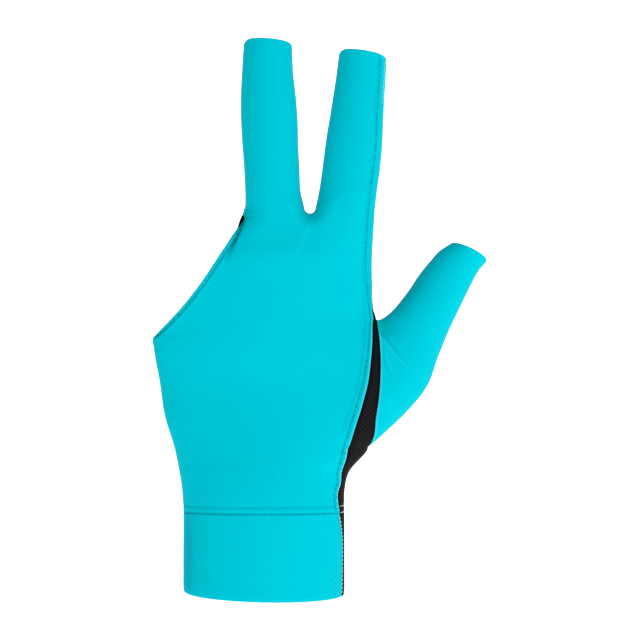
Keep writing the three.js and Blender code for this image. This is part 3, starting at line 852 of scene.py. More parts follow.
@dataclass(frozen=True)
class GloveGrid:
    """How the form is cut into grids: fine beside edges and even between them."""

    form: GloveForm
    cuff_rows: Array = field(default_factory=lambda: spread((0, 0.3, 3.6, 4), (7, 26, 7)))
    hand_rows: Array = field(
        default_factory=lambda: spread((4, 4.9, 9, 21, 25, 29), (11, 24, 66, 32, 22))
    )
    front_columns: Array = field(
        default_factory=lambda: spread((0, 0.7, 10, 19.1, 20), (8, 56, 54, 12))
    )
    strip_columns: Array = field(default_factory=lambda: spread((20, 22), (10,)))
    palm_columns: Array = field(default_factory=lambda: spread((0, 8, 17.3, 18), (40, 50, 7)))
    rings: Array = field(
        default_factory=lambda: np.concatenate(
            [
                0.032 * (1 - np.cos(np.linspace(0, np.pi / 2, 8, endpoint=False))),
                spread((0.032, 0.1, 0.96, 1), (8, 62, 6)),
            ]
        )
    )
    thumb_rings: Array = field(default_factory=lambda: spread((0, 0.08, 0.95, 1), (9, 60, 6)))

    def patches(self) -> list[Patch]:
        """Cuts the whole form.

        Returns:
            All the grids of the glove.
        """
        form = self.form
        grids = []
        centre = int(np.searchsorted(self.front_columns, form.FINGER))
        for back, palm, rows in (
            ("cuff_back", "cuff_palm", self.cuff_rows),
            ("back_panel", "palm_panel", self.hand_rows),
        ):
            height = form.row_height(rows)
            tall = rows[:, None]
            front = form.hand(tall, self.front_columns, Face.BACK)
            strip = form.hand(tall, self.strip_columns, Face.BACK)
            rear = form.hand(tall, self.palm_columns, Face.PALM)
            grids.append(Patch(back, front, centre, height))
            grids.append(Patch(palm, strip, len(self.strip_columns) - 1, height))
            grids.append(Patch(palm, rear, 0, height))
        for finger, underside in ((form.middle, "middle_underside"), (form.index, "index_underside")):
            grids.extend(self._finger(finger, underside))
        grids.append(self._thumb())
        return grids

    def _finger(self, finger: Finger, underside: str) -> list[Patch]:
        """The grids of one finger, whose turns meet the hand's columns.

        Args:
            finger: Which finger.
            underside: The panel on its palm side.

        Returns:
            One grid of the back's panel and one of the underside.
        """
        form = self.form
        tall = self.rings[:, None]
        height = form.web_z + self.rings * finger.length
        web = form.FINGER - form.STRIP
        columns = self.front_columns - finger.first_column
        front = columns[(columns >= 0) & (columns <= form.FINGER)]
        if finger.first_column:
            strip = self.strip_columns - finger.first_column
            palm = self.palm_columns[(self.palm_columns > 0) & (self.palm_columns <= web)]
            rear = np.concatenate([strip, palm + form.FINGER + form.STRIP])
        else:
            rear = self.palm_columns[self.palm_columns >= web] + form.STRIP
        middle = 0 if finger.first_column else len(front) - 1
        fronts = form.finger(finger, tall, front)
        return [
            Patch("back_panel", fronts, middle, height),
            Patch(underside, form.finger(finger, tall, rear), 0, height),
        ]

    def _thumb(self) -> Patch:
        """The thumb's grid, from its end down to its seam.

        Returns:
            The grid.
        """
        form = self.form
        beside = self.hand_rows[(self.hand_rows >= form.ROOT) & (self.hand_rows <= form.CROTCH)]
        turns = beside - form.ROOT
        home = 2 * (form.CROTCH - form.ROOT) - turns[::-1]
        turn = np.concatenate([turns, home[1:]])
        rings = self.thumb_rings[::-1]
        points = form.thumb(rings[:, None], turn)
        return Patch("thumb_sleeve", points, len(turns) - 1, rings * form.thumb_reach)


def cut_quads(rows: int, columns: int) -> Array:
    """A grid's quads, which face out where columns run to the right.

    Args:
        rows: Number of rows of points.
        columns: Number of points in a row.

    Returns:
        Corner numbers, four to a quad.
    """
    corner = np.arange(rows * columns).reshape(rows, columns)
    corners = [corner[:-1, :-1], corner[:-1, 1:], corner[1:, 1:], corner[1:, :-1]]
    return np.stack(corners, -1).reshape(-1, 4)


def without_slivers(quads: Array) -> Array:
    """The quads, with those that have lost a side turned into triangles.

    Args:
        quads: Corner numbers, four to a row.

    Returns:
        The faces, four places each, the last of a triangle's -1. A quad with fewer than three
        different corners is left out.
    """
    a, b, c, d = quads.T
    triangles = quads.copy()
    lost = (a == b) | (b == c) | (c == d) | (d == a)
    first = np.stack([a, b, c, np.full_like(a, -1)], 1)
    last = np.stack([a, c, d, np.full_like(a, -1)], 1)
    triangles[lost] = np.where(((c == d) | (d == a))[lost, None], first[lost], last[lost])
    p, q, r = triangles[:, 0], triangles[:, 1], triangles[:, 2]
    return triangles[(p != q) & (q != r) & (r != p)]


class Skin:
    """The whole glove's skin: one set of shared points with one normal each."""

    GRAIN = 1000  # points closer than one thousandth of a millimetre are one

    def __init__(self, patches: Sequence[Patch]) -> None:
        """Welds the patches and works out the normals.

        Args:
            patches: Grids that meet point for point.
        """
        points = np.concatenate([patch.points.reshape(-1, 3) for patch in patches])
        keys = np.round(points * self.GRAIN).astype(np.int64)
        _, first, shared = np.unique(keys, axis=0, return_index=True, return_inverse=True)
        shared = shared.reshape(-1)
        self.points = points[first]
        self.faces: dict[str, list[Array]] = {}
        self.knit: dict[str, Array] = {}
        start = 0
        for patch in patches:
            rows, columns = patch.points.shape[:2]
            quads = shared[start + cut_quads(rows, columns)]
            self.faces.setdefault(patch.panel, []).append(without_slivers(quads))
            own = shared[start : start + rows * columns]
            knit = self.knit.setdefault(patch.panel, np.full((len(first), 2), np.nan))
            fresh = np.isnan(knit[own, 0])
            knit[own[fresh]] = patch.knit().reshape(-1, 2)[fresh]
            start += rows * columns
        self.normals = self._normals()

    def _normals(self) -> Array:
        """Normals at the points, each face counted by its area.

        Returns:
            One unit vector a point.
        """
        normals = np.zeros_like(self.points)
        for faces in self.faces.values():
            corners = np.concatenate(faces).T
            a, b, c, d = (self.points[corner] for corner in corners)
            triangle = corners[3] < 0
            cross = np.cross(c - a, np.where(triangle[:, None], a, d) - b)
            for corner in corners[:3]:
                np.add.at(normals, corner, cross)
            np.add.at(normals, corners[3][~triangle], cross[~triangle])
        return units(normals)


def directed_edges(faces: Array) -> Array:
    """Every face's edges in the order of its corners.

    Args:
        faces: Corner numbers, four to a row, -1 in the last place of a triangle.

    Returns:
        Pairs of point numbers.
    """
    quads, triangles = faces[faces[:, 3] >= 0], faces[faces[:, 3] < 0][:, :3]
    edges = [np.stack([quads[:, i], quads[:, (i + 1) % 4]], 1) for i in range(4)]
    edges += [np.stack([triangles[:, i], triangles[:, (i + 1) % 3]], 1) for i in range(3)]
    return np.concatenate(edges)


def open_edges(faces: Array, count: int) -> Array:
    """The edges that only one face has.

    Args:
        faces: Corner numbers, four to a row, -1 in the last place of a triangle.
        count: Number of points.

    Returns:
        Pairs of point numbers, in their face's own order.
    """
    edges = directed_edges(faces)
    own = edges[:, 0] * count + edges[:, 1]
    other = edges[:, 1] * count + edges[:, 0]
    return edges[~np.isin(own, other)]


@dataclass(frozen=True)
class EdgeBand:
    """How cloth stands up and rolls over beside one edge, in mm, and its painted light there.

    Height = raised (1 - eased(distance, width - step, width + step)) - rolled bell(distance).
    """

    edge: Edge
    raised: float = 0.0
    width: float = 2.4
    rolled: float = 0.25
    roll_width: float = 0.8
    step: float = 0.4
    tone: float = 0.0  # above 0 painted shade at the edge, below 0 a painted highlight of a lit fold
    tone_width: float = 0.7

    def height(self, distance: Array) -> Array:
        """Height of the cloth at a distance from the edge."""
        band = 1 - eased(distance, self.width - self.step, self.width + self.step)
        return self.raised * band - self.rolled * bell(distance, self.roll_width)


@dataclass(frozen=True)
class Fold:
    """A valley, or a ridge where its depth is negative, between two points of the front view.

    The points are (x, z) in mm as the camera sees them in the plane y = 0. The depth and the
    painted shade follow a sine's arch along the line and a bell across it.
    """

    start: tuple[float, float]
    end: tuple[float, float]
    depth: float
    width: float
    shade: float = 0.0  # painted shade for the light the valley loses, below 0 a painted highlight
    arch: tuple[float, float] = (0.15, 0.85)  # part of the sine that the depth follows

    def strength(self, seen: Array) -> Array:
        """How deep the fold is at some points.

        Args:
            seen: The points as the camera sees them, as (x, z).

        Returns:
            Shares of the fold's depth.
        """
        start, end = np.array(self.start), np.array(self.end)
        line = end - start
        along = np.clip((seen - start) @ line / (line @ line), 0, 1)
        distance = np.linalg.norm(seen - start - along[:, None] * line, axis=1)
        return bell(distance, self.width) * np.sin(np.pi * lerp(*self.arch, along))


@dataclass(frozen=True)
class Camera:
    """The camera at the photograph's angle, level with the middle of the glove."""

    place: tuple[float, float, float] = (21.45, -650.0, 104.0)  # mm
    lens: float = 95.5
    sensor: float = 36.0
    clip_start: float = 0.01  # nothing nearer is shown, metres

    def seen(self, points: Array) -> Array:
        """Where points show in the plane y = 0.

        Args:
            points: The points in mm.

        Returns:
            Their places as (x, z).
        """
        nearer = -self.place[1] / (points[:, 1] - self.place[1])
        x = self.place[0] + (points[:, 0] - self.place[0]) * nearer
        z = self.place[2] + (points[:, 2] - self.place[2]) * nearer
        return np.stack([x, z], 1)

    def build(self) -> None:
        """Adds the camera and makes it the scene's own."""
        data = bpy.data.cameras.new("camera")
        data.lens, data.sensor_width = self.lens, self.sensor
        data.clip_start = self.clip_start
        camera = bpy.data.objects.new("camera", data)
        camera.location = Vector(self.place) * METRES
        camera.rotation_euler = (np.pi / 2, 0, 0)
        bpy.context.scene.collection.objects.link(camera)
        bpy.context.scene.camera = camera


@dataclass(frozen=True)
class StitchRow:
    """A row of stitches along a line on one panel, in mm."""

    panel: str
    path: Array  # points on the bare skin
    pitch: float = 2.1
    length: float = 1.35
    radius: float = 0.17
    lift: float = 0.1  # rise of a stitch's centre line, besides its radius
    swing: float = 0.0  # how far each stitch crosses the line, to alternate sides
    shade: float = 1.0  # share of the painted shade round it, 1 for a tight dark row
    heading: float = 0.125  # share of a stitch over which the line's direction is taken

    def places(self, shares: Array) -> tuple[Array, Array]:
        """Points along every stitch, and the line's direction there.

        Args:
            shares: Shares of a stitch's length at which points are wanted.

        Returns:
            Points and unit directions, both (stitches, shares, 3).
        """
        run = run_length(self.path)
        count = int(run[-1] // self.pitch)
        first = (run[-1] - count * self.pitch + self.pitch - self.length) / 2
        at = first + np.arange(count)[:, None] * self.pitch + shares * self.length
        step = self.length * self.heading
        points, ahead = (
            np.stack([np.interp(s, run, self.path[:, axis]) for axis in range(3)], -1)
            for s in (at, at + step)
        )
        return points, units(ahead - points)

    def holes(self) -> Array:
        """The needle's holes, at both ends of every stitch."""
        return self.places(np.array([0.0, 1.0]))[0].reshape(-1, 3)


@dataclass(frozen=True)
class Groove:
    """A narrow valley along a line on one panel, in mm, such as where doubled cloth ends."""

    panel: str
    path: Array
    depth: float = 0.16
    width: float = 0.6
    # painted shade in the valley
    shade: float = 0.14


@dataclass(frozen=True)
class Relief:
    """All that stands up or dips on one panel's outer face, in mm, and its painted light."""

    lines: EdgeLines
    camera: Camera
    bands: tuple[EdgeBand, ...]
    folds: tuple[Fold, ...]
    rows: tuple[StitchRow, ...]
    grooves: tuple[Groove, ...]
    pull_depth: float = 0.15  # of the groove that a row of stitches draws
    pull_width: float = 0.75
    hole_depth: float = 0.2
    hole_width: float = 0.5
    hole_shade: float = 0.36
    pull_shade: float = 0.06
    facing: float = 1.6  # folds are full where 1 / facing or more of a normal points to the front

    def at(self, points: Array, normals: Array) -> tuple[Array, Array]:
        """Height of the cloth over the bare skin, and the painted shade and highlight there.

        Args:
            points: Points of the bare skin.
            normals: The skin's normals there.

        Returns:
            Heights in mm and painted light from -1, a painted highlight, to 1, painted shade.
        """
        height, shade = np.zeros(len(points)), np.zeros(len(points))
        for band in self.bands:
            distance = nearest(points, self.lines.points[band.edge])[0]
            height += band.height(distance)
            shade += band.tone * bell(distance, band.tone_width)
        for groove in self.grooves:
            valley = bell(nearest(points, groove.path)[0], groove.width)
            height -= groove.depth * valley
            shade += groove.shade * valley
        seen = self.camera.seen(points)
        frontness = np.clip(-self.facing * normals[:, 1], 0, 1)
        for fold in self.folds:
            strength = fold.strength(seen) * frontness
            height -= fold.depth * strength
            shade += fold.shade * strength
        for row in self.rows:
            pull = bell(nearest(points, row.path)[0], self.pull_width)
            hole = bell(nearest(points, row.holes())[0], self.hole_width)
            height -= self.pull_depth * pull + self.hole_depth * hole
            shade += row.shade * (self.pull_shade * pull + self.hole_shade * hole)
        return height, np.clip(shade, -1, 1)


def mesh_object(name: str, points: Array, faces: Array) -> bpy.types.Object:
    """A smooth-shaded mesh whose place is in its points.

    Args:
        name: The piece's name.
        points: Its points in mm.
        faces: Corner numbers, four to a row, -1 in the last place of a triangle.

    Returns:
        The new object, linked to the scene.
    """
    mesh = bpy.data.meshes.new(name)
    used = faces >= 0
    sizes = used.sum(1)
    starts = np.concatenate([[0], np.cumsum(sizes)[:-1]])
    mesh.vertices.add(len(points))
    mesh.vertices.foreach_set("co", (points * METRES).astype(np.float32).ravel())
    mesh.loops.add(int(sizes.sum()))
    mesh.loops.foreach_set("vertex_index", faces[used].astype(np.int32))
    mesh.polygons.add(len(faces))
    mesh.polygons.foreach_set("loop_start", starts.astype(np.int32))
    mesh.polygons.foreach_set("use_smooth", np.ones(len(faces), bool))
    mesh.update(calc_edges=True)
    mesh.validate()
    piece = bpy.data.objects.new(name, mesh)
    bpy.context.scene.collection.objects.link(piece)
    return piece


def add_knit(piece: bpy.types.Object, knit: Array, shade: Array) -> None:
    """Gives a piece its place in the knit as UVs in mm, and its painted shade as an attribute.

    Args:
        piece: The mesh object.
        knit: Place across and up the knit of every point.
        shade: Painted shade from -1, a painted highlight, to 1 of every point.
    """
    mesh = piece.data
    corners = np.zeros(len(mesh.loops), np.int32)
    mesh.loops.foreach_get("vertex_index", corners)
    layer = mesh.uv_layers.new(name="knit")
    layer.data.foreach_set("uv", knit[corners].astype(np.float32).ravel())
    attribute = mesh.attributes.new("shade", "FLOAT", "POINT")
    attribute.data.foreach_set("value", shade.astype(np.float32))


@dataclass(frozen=True)
class Sheet:
    width: float
    length: float
    area: float


@dataclass(frozen=True)
class ClothPanel:
    """One panel of the glove, a sheet of cloth that replaces the CAD node of the same name."""

    name: str
    slot: str
    wall: float
    cut: Sheet
    bands: tuple[EdgeBand, ...]
    folds: tuple[Fold, ...] = ()
    seam_gap: float = 0.05
    settle: float = 2.2  # distance over which the cloth is drawn in from its edge
    rim_steps: int = 6
    rim_bulge: float = 0.55  # how far a rim stands out, a share of half the wall
    squareness: float = 0.45  # 1 for a round rim, less for a squarer one

    def build(self, skin: Skin, relief: Relief) -> bpy.types.Object:
        """Makes the panel as a closed solid.

        The outer face is the skin moved along its normals by the relief. The inner face lies one
        wall further in. A rounded rim joins them along every edge, which is drawn in by as much as
        the rim stands out, so that the panel ends where the form does. Round the rim, rise is
        cos(angle)^squareness and reach is bulge sin(angle)^squareness, shares of half the wall.

        Args:
            skin: The whole glove's skin.
            relief: The panel's relief.

        Returns:
            The panel.
        """
        faces = np.concatenate(skin.faces[self.name])
        used, faces = self._own_points(faces)
        points, normals = skin.points[used], skin.normals[used]
        height, shade = relief.at(points, normals)
        border = open_edges(faces, len(used))
        outward = self._outward(points, normals, border)
        rim = np.unique(border)
        distance, near = nearest(points, points[rim])
        drawn = self.rim_bulge * self.wall / 2 + self.seam_gap / 2
        drawn = drawn * (1 - eased(distance, 0, self.settle))
        outer = points - outward[rim][near] * drawn[:, None] + normals * height[:, None]
        knit = skin.knit[self.name][used]
        solid, solid_faces, source = self._solid(outer, normals, outward, faces, border, rim)
        piece = mesh_object(self.name + "_cloth", solid, solid_faces)
        add_knit(piece, knit[source], shade[source])
        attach(piece, "root")
        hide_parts(self.name)
        flat = (self.cut.width * METRES, self.cut.length * METRES)
        self.cut.area * METRES**2
        log.info("%s: %d faces", piece.name, len(solid_faces))
        return piece

    @staticmethod
    def _own_points(faces: Array) -> tuple[Array, Array]:
        """Numbers a panel's points by themselves.

        Args:
            faces: The panel's faces in the skin's numbers.

        Returns:
            The skin's points that the faces use, and the faces in the panel's own numbers.
        """
        used = np.unique(faces[faces >= 0])
        own = np.where(faces >= 0, np.searchsorted(used, faces), -1)
        return used, own

    @staticmethod
    def _outward(points: Array, normals: Array, border: Array) -> Array:
        """Direction out of the cloth along its own surface.

        Args:
            points: The panel's points.
            normals: Their normals.
            border: The panel's open edges.

        Returns:
            Unit vectors at the border's points, zeros elsewhere.
        """
        run = points[border[:, 1]] - points[border[:, 0]]
        outward = np.zeros_like(points)
        for corner in border.T:
            np.add.at(outward, corner, np.cross(run, normals[corner]))
        return units(outward)

    def _solid(
        self, outer: Array, normals: Array, outward: Array, faces: Array, border: Array, rim: Array
    ) -> tuple[Array, Array, Array]:
        """The closed solid of an outer face.

        Args:
            outer: Points of the outer face.
            normals: Their normals.
            outward: Direction out of the cloth at the border's points.
            faces: The outer face's faces.
            border: Its open edges.
            rim: The border's points.

        Returns:
            Points, faces, and for each point the outer point that it came from.
        """
        count = len(outer)
        middle = outer[rim] - normals[rim] * self.wall / 2
        parts, source = [outer, outer - normals * self.wall], [np.arange(count), np.arange(count)]
        ring_of = [np.arange(count)]
        for step in range(1, self.rim_steps):
            angle = np.pi * step / self.rim_steps
            rise = np.sign(np.cos(angle)) * abs(np.cos(angle)) ** self.squareness
            reach = self.rim_bulge * np.sin(angle) ** self.squareness
            ring = middle + self.wall / 2 * (rise * normals[rim] + reach * outward[rim])
            place = np.full(count, -1)
            place[rim] = 2 * count + (step - 1) * len(rim) + np.arange(len(rim))
            ring_of.append(place)
            parts.append(ring)
            source.append(rim)
        ring_of.append(np.arange(count) + count)
        inner = np.where(faces >= 0, faces + count, -1)
        triangle = faces[:, 3] < 0
        inner = np.where(triangle[:, None], inner[:, [0, 2, 1, 3]], inner[:, [0, 3, 2, 1]])
        walls = [
            np.stack([one[border[:, 1]], one[border[:, 0]], two[border[:, 0]], two[border[:, 1]]], 1)
            for one, two in zip(ring_of, ring_of[1:])
        ]
        return np.concatenate(parts), np.concatenate([faces, inner, *walls]), np.concatenate(source)


@dataclass(frozen=True)
class Stitching:
    """Threads of one kind, every stitch a thin capsule that dips into the cloth at both ends."""

    name: str
    slot: str
    rows: tuple[StitchRow, ...]
    sides: int = 6  # an even number, so that quads close the ends
    steps: int = 6
    sunk: float = 0.9  # how deep a stitch's ends lie in the cloth, a share of its radius
    tip: float = 0.2  # radius of its very ends, a share of the whole

    def build(self, skin: Skin, reliefs: dict[str, Relief]) -> bpy.types.Object:
        """Makes all the stitches as one piece.

        A stitch's centre line follows its row's line over the cloth, raised along the normal by
        (lift + radius) sin(pi t) - sunk radius. The radius of its round section follows
        sqrt(1 - (2t - 1)^6), so that its ends are blunt.

        Args:
            skin: The whole glove's skin.
            reliefs: The relief of each panel, by the panel's name.

        Returns:
            The piece.
        """
        shares = np.linspace(0, 1, self.steps)
        turn = TAU * np.arange(self.sides) / self.sides
        points, faces = [], []
        start = 0
        for row in self.rows:
            centre, along = row.places(shares)
            flat = centre.reshape(-1, 3)
            normal = skin.normals[nearest(flat, skin.points)[1]]
            height = reliefs[row.panel].at(flat, normal)[0]
            normal = normal.reshape(centre.shape)
            side = units(np.cross(normal, along))
            arch = (row.lift + row.radius) * np.sin(np.pi * shares) - self.sunk * row.radius
            raised = height.reshape(centre.shape[:2]) + arch
            crossing = np.where(np.arange(len(centre)) % 2, 1, -1)[:, None] * (2 * shares - 1)
            centre = centre + normal * raised[..., None] + side * (row.swing * crossing)[..., None]
            along = units(np.gradient(centre, axis=1))
            side = units(np.cross(normal, along))
            blunt = np.sqrt(np.clip(1 - (2 * shares - 1) ** 6, self.tip**2, 1))
            width = row.radius * blunt
            ring = np.cos(turn)[:, None] * normal[:, :, None] + np.sin(turn)[:, None] * side[:, :, None]
            tube = centre[:, :, None] + ring * width[:, None, None]
            points.append(tube.reshape(-1, 3))
            faces.append(start + self._faces(len(centre)))
            start += tube.size // 3
        piece = mesh_object(self.name, np.concatenate(points), np.concatenate(faces))
        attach(piece, "root")
        log.info("%s: %d faces", piece.name, sum(map(len, faces)))
        return piece

    def _faces(self, count: int) -> Array:
        """Faces of closed tubes, each end a fan of quads.

        Args:
            count: Number of tubes.

        Returns:
            Corner numbers, four to a row.
        """
        number = np.arange(count * self.steps * self.sides).reshape(count, self.steps, self.sides)
        ahead = np.roll(number, -1, axis=2)
        walls = [number[:, :-1], number[:, 1:], ahead[:, 1:], ahead[:, :-1]]
        tubes = np.stack(walls, -1).reshape(-1, 4)
        fan = [[0, side, side + 1, side + 2] for side in range(1, self.sides - 2, 2)]
        first = [number[:, 0, quad] for quad in fan]
        last = [number[:, -1, quad[::-1]] for quad in fan]
        return np.concatenate([tubes, *first, *last])


class Socket:
    """A node's output, on which arithmetic adds Math nodes."""

    def __init__(self, shader: "Shader", output: bpy.types.NodeSocket) -> None:
        """Keeps the output and the shader that it belongs to."""
        self.shader = shader
        self.output = output

    def math(self, operation: str, *others: Any) -> "Socket":
        """The result of a Math node on this value and others."""
        inputs = dict(enumerate((self, *others)))
        return self.shader.node("ShaderNodeMath", {"operation": operation}, inputs)

    def __add__(self, other: Any) -> "Socket":
        """Sum."""
        return self.math("ADD", other)

    def __radd__(self, other: float) -> "Socket":
        """Sum with a number first."""
        return self + other

    def __sub__(self, other: Any) -> "Socket":
        """Difference."""
        return self.math("SUBTRACT", other)

    def __rsub__(self, other: float) -> "Socket":
        """Difference from a number."""
        return self.shader.node("ShaderNodeMath", {"operation": "SUBTRACT"}, {0: other, 1: self})

    def __mul__(self, other: Any) -> "Socket":
        """Product."""
        return self.math("MULTIPLY", other)

    def __truediv__(self, other: Any) -> "Socket":
        """Quotient."""
        return self.math("DIVIDE", other)


class Shader:
    """One material's nodes, made by one method."""

    def __init__(self, name: str) -> None:
        """Starts a material with an empty tree.

        Args:
            name: The material's name.
        """
        self.material = bpy.data.materials.new(name)
        self.material.use_nodes = True
        self.tree = self.material.node_tree
        self.tree.nodes.clear()

    def node(
        self, kind: str, settings: dict[str, Any], inputs: dict[Any, Any], output: Any = 0
    ) -> Socket:
        """Adds a node.

        Args:
            kind: The node's type.
            settings: Its own settings, made first.
            inputs: Values or sockets by input name or number.
            output: Name or number of the output to return.

        Returns:
            The output as a Socket.
        """
        made = self.tree.nodes.new(kind)
        for name, value in settings.items():
            setattr(made, name, value)
        for name, value in inputs.items():
            if isinstance(value, Socket):
                self.tree.links.new(value.output, made.inputs[name])
            else:
                made.inputs[name].default_value = value
        return Socket(self, made.outputs[output])

    def knit(self) -> tuple[Socket, Socket]:
        """Where a point lies in the knit.

        Returns:
            Its places across and up, in mm.
        """
        uv = self.node("ShaderNodeUVMap", {"uv_map": "knit"}, {})
        across = self.node("ShaderNodeSeparateXYZ", {}, {0: uv}, "X")
        up = self.node("ShaderNodeSeparateXYZ", {}, {0: uv}, "Y")
        return across, up

    def attribute(self, name: str) -> Socket:
        """A mesh attribute's value."""
        return self.node("ShaderNodeAttribute", {"attribute_name": name}, {}, "Fac")

    def noise(self, scale: float, detail: float = 2.0) -> Socket:
        """Noise from 0 to 1 in the piece's own space, of so many lumps to a metre."""
        place = self.node("ShaderNodeTexCoord", {}, {}, "Object")
        return self.node("ShaderNodeTexNoise", {}, {"Vector": place, "Scale": scale, "Detail": detail})

    def mix(self, share: Any, first: Any, second: Any) -> Socket:
        """A colour that goes from the first to the second as the share rises."""
        settings = {"data_type": "RGBA", "clamp_factor": True}
        return self.node("ShaderNodeMix", settings, {0: share, 6: first, 7: second}, 2)

    def bump(self, height: Socket, strength: float, distance: float) -> Socket:
        """A normal from a height whose unit is the distance in metres."""
        inputs = {"Height": height, "Strength": strength, "Distance": distance}
        return self.node("ShaderNodeBump", {}, inputs)

    def surface(self, inputs: dict[str, Any]) -> bpy.types.Material:
        """Closes the tree with a Principled shader.

        Args:
            inputs: Values or sockets by the shader's input name.

        Returns:
            The finished material.
        """
        shaded = self.node("ShaderNodeBsdfPrincipled", {}, inputs)
        out = self.tree.nodes.new("ShaderNodeOutputMaterial")
        self.tree.links.new(shaded.output, out.inputs["Surface"])
        return self.material


@dataclass(frozen=True)
class SpandexFinish:
    """Smooth stretch jersey: fine upright wales of small V loops."""

    light: Colour = (0.0, 0.572, 0.68, 1.0)
    deep: Colour = (0.0, 0.52, 0.625, 1.0)
    # Painted shade (shaded) and painted highlight (pale), laid on by the shade attribute.
    shaded: Colour = (0.0, 0.2, 0.26, 1.0)
    pale: Colour = (0.16, 0.86, 0.92, 1.0)
    wale: float = 0.62  # width of a column of loops, mm
    course: float = 0.5  # height of one loop
    rise: float = 0.45  # how far a loop's sides climb, a share of a course
    loop_height: float = 0.35  # of a wale's height
    clouds: float = 26.0  # lumps of faint cloudiness to a metre
    yarns: float = 900.0  # lumps of the yarn's own unevenness to a metre
    cloud_share: float = 0.7
    yarn_share: float = 0.3
    bump: float = 0.00005
    bump_strength: float = 0.35
    roughness: float = 0.62
    unevenness: float = 0.12  # of the roughness
    gloss: float = 0.01
    gloss_tint: Colour = (0.02, 0.85, 1.0, 1.0)

    def material(self, name: str) -> bpy.types.Material:
        """Makes the finish.

        Args:
            name: The material's name.

        Returns:
            The material.
        """
        shader = Shader(name)
        across, up = shader.knit()
        climb = (across / self.wale).math("PINGPONG", 0.5) * (2 * self.rise)
        loops = ((up / self.course + climb) * TAU).math("SINE")
        wales = (across * (np.pi / self.wale)).math("SINE").math("ABSOLUTE")
        height = loops * self.loop_height + wales
        cloudy = shader.noise(self.clouds)
        yarn = shader.noise(self.yarns, 1.0)
        tone = cloudy * self.cloud_share + yarn * self.yarn_share
        shade = shader.attribute("shade")
        colour = shader.mix(tone, self.deep, self.light)
        # Painted shade where the shade attribute is above 0, painted highlight where it is below 0.
        colour = shader.mix(shade, colour, self.shaded)
        colour = shader.mix(0 - shade, colour, self.pale)
        return shader.surface(
            {
                "Base Color": colour,
                "Roughness": self.roughness + (yarn - 0.5) * self.unevenness,
                "Normal": shader.bump(height, self.bump_strength, self.bump),
                "Specular IOR Level": self.gloss,
                "Specular Tint": self.gloss_tint,
            }
        )


@dataclass(frozen=True)
class MeshFinish:
    """Black mesh knit: slanting ribs with a row of small holes between each two."""

    yarn: Colour = (0.0135, 0.0115, 0.0125, 1.0)
    hole: Colour = (0.002, 0.002, 0.0024, 1.0)
    # Painted shade that darkens the mesh beside its seams.
    edge: Colour = (0.0, 0.003, 0.005, 1.0)
    crossing: float = 0.4  # how much the holes stand out of the slanting valleys
    pitch: float = 1.25  # from hole to hole, mm
    hole_from: float = 0.45  # height of the net's wave at which a hole starts
    hole_sides: float = 2.5  # how steep its sides are
    yarns: float = 1400.0  # lumps of the yarn's own unevenness to a metre
    fuzz: float = 0.25  # their height, a share of the holes' depth
    bump: float = 0.00018
    bump_strength: float = 0.6
    roughness: float = 0.78
    unevenness: float = 0.1
    gloss: float = 0.05

    def material(self, name: str) -> bpy.types.Material:
        """Makes the finish.

        Args:
            name: The material's name.

        Returns:
            The material.
        """
        shader = Shader(name)
        across, up = shader.knit()
        turns = np.pi / (self.pitch * np.sqrt(2))
        rising = ((across + up) * turns).math("SINE")
        falling = ((across - up) * turns).math("SINE")
        net = rising * rising * (falling * falling * self.crossing + (1 - self.crossing))
        hole = ((net - self.hole_from) * self.hole_sides).math("MAXIMUM", 0.0).math("MINIMUM", 1.0)
        fine = shader.noise(self.yarns, 1.0)
        colour = shader.mix(hole, self.yarn, self.hole)
        # Painted shade beside the seams, from the shade attribute.
        colour = shader.mix(shader.attribute("shade"), colour, self.edge)
        height = (1 - hole) + fine * self.fuzz
        return shader.surface(
            {
                "Base Color": colour,
                "Roughness": self.roughness + (fine - 0.5) * self.unevenness,
                "Normal": shader.bump(height, self.bump_strength, self.bump),
                "Specular IOR Level": self.gloss,
            }
        )


@dataclass(frozen=True)
class ThreadFinish:
    """Sewing thread, mottled and roughened by its fine plies."""

    light: Colour
    deep: Colour
    plies: float = 2600.0  # lumps to a metre
    bump: float = 0.00005
    bump_strength: float = 0.3
    roughness: float = 0.5
    unevenness: float = 0.1
    gloss: float = 0.08

    def material(self, name: str) -> bpy.types.Material:
        """Makes the finish.

        Args:
            name: The material's name.

        Returns:
            The material.
        """
        shader = Shader(name)
        plies = shader.noise(self.plies, 1.0)
        return shader.surface(
            {
                "Base Color": shader.mix(plies, self.deep, self.light),
                "Roughness": self.roughness + plies * self.unevenness,
                "Normal": shader.bump(plies, self.bump_strength, self.bump),
                "Specular IOR Level": self.gloss,
            }
        )


class Thread(Enum):
    """The glove's threads."""

    TURQUOISE = ThreadFinish((0.0, 0.4, 0.5, 1.0), (0.0, 0.28, 0.36, 1.0))
    PALE = ThreadFinish((0.4, 0.95, 0.97, 1.0), (0.12, 0.8, 0.85, 1.0))
    WHITE = ThreadFinish((0.75, 0.8, 0.8, 1.0), (0.5, 0.58, 0.58, 1.0))
    LIGHT = ThreadFinish((0.02, 0.72, 0.8, 1.0), (0.0, 0.6, 0.68, 1.0))
    SOFT = ThreadFinish((0.0, 0.52, 0.62, 1.0), (0.0, 0.44, 0.54, 1.0))


# The thread of each piece of stitching that isn't sewn with the turquoise one.
SEWN_WITH = {
    "hem_zigzag": Thread.LIGHT,
    "cuff_joint_stitches": Thread.SOFT,
    "fold_edge_stitches": Thread.PALE,
    "cuff_inner_stitches": Thread.LIGHT,
    "palm_joint_stitches": Thread.WHITE,
}


def beside(form: GloveForm, rows: Array, column: float, face: Face, inset: float) -> Array:
    """A line on the hand beside one of its columns.

    Args:
        form: The glove's form.
        rows: Rows that the line crosses.
        column: The column that it follows.
        face: Back or palm.
        inset: Distance to the line in mm, below 0 towards lower columns.

    Returns:
        The line's points.
    """
    step = np.sign(inset) * PROBE
    edge = form.hand(rows, column, face)
    rate = np.linalg.norm(form.hand(rows, column + step, face) - edge, axis=1) / abs(step)
    return form.hand(rows, column + inset / rate, face)


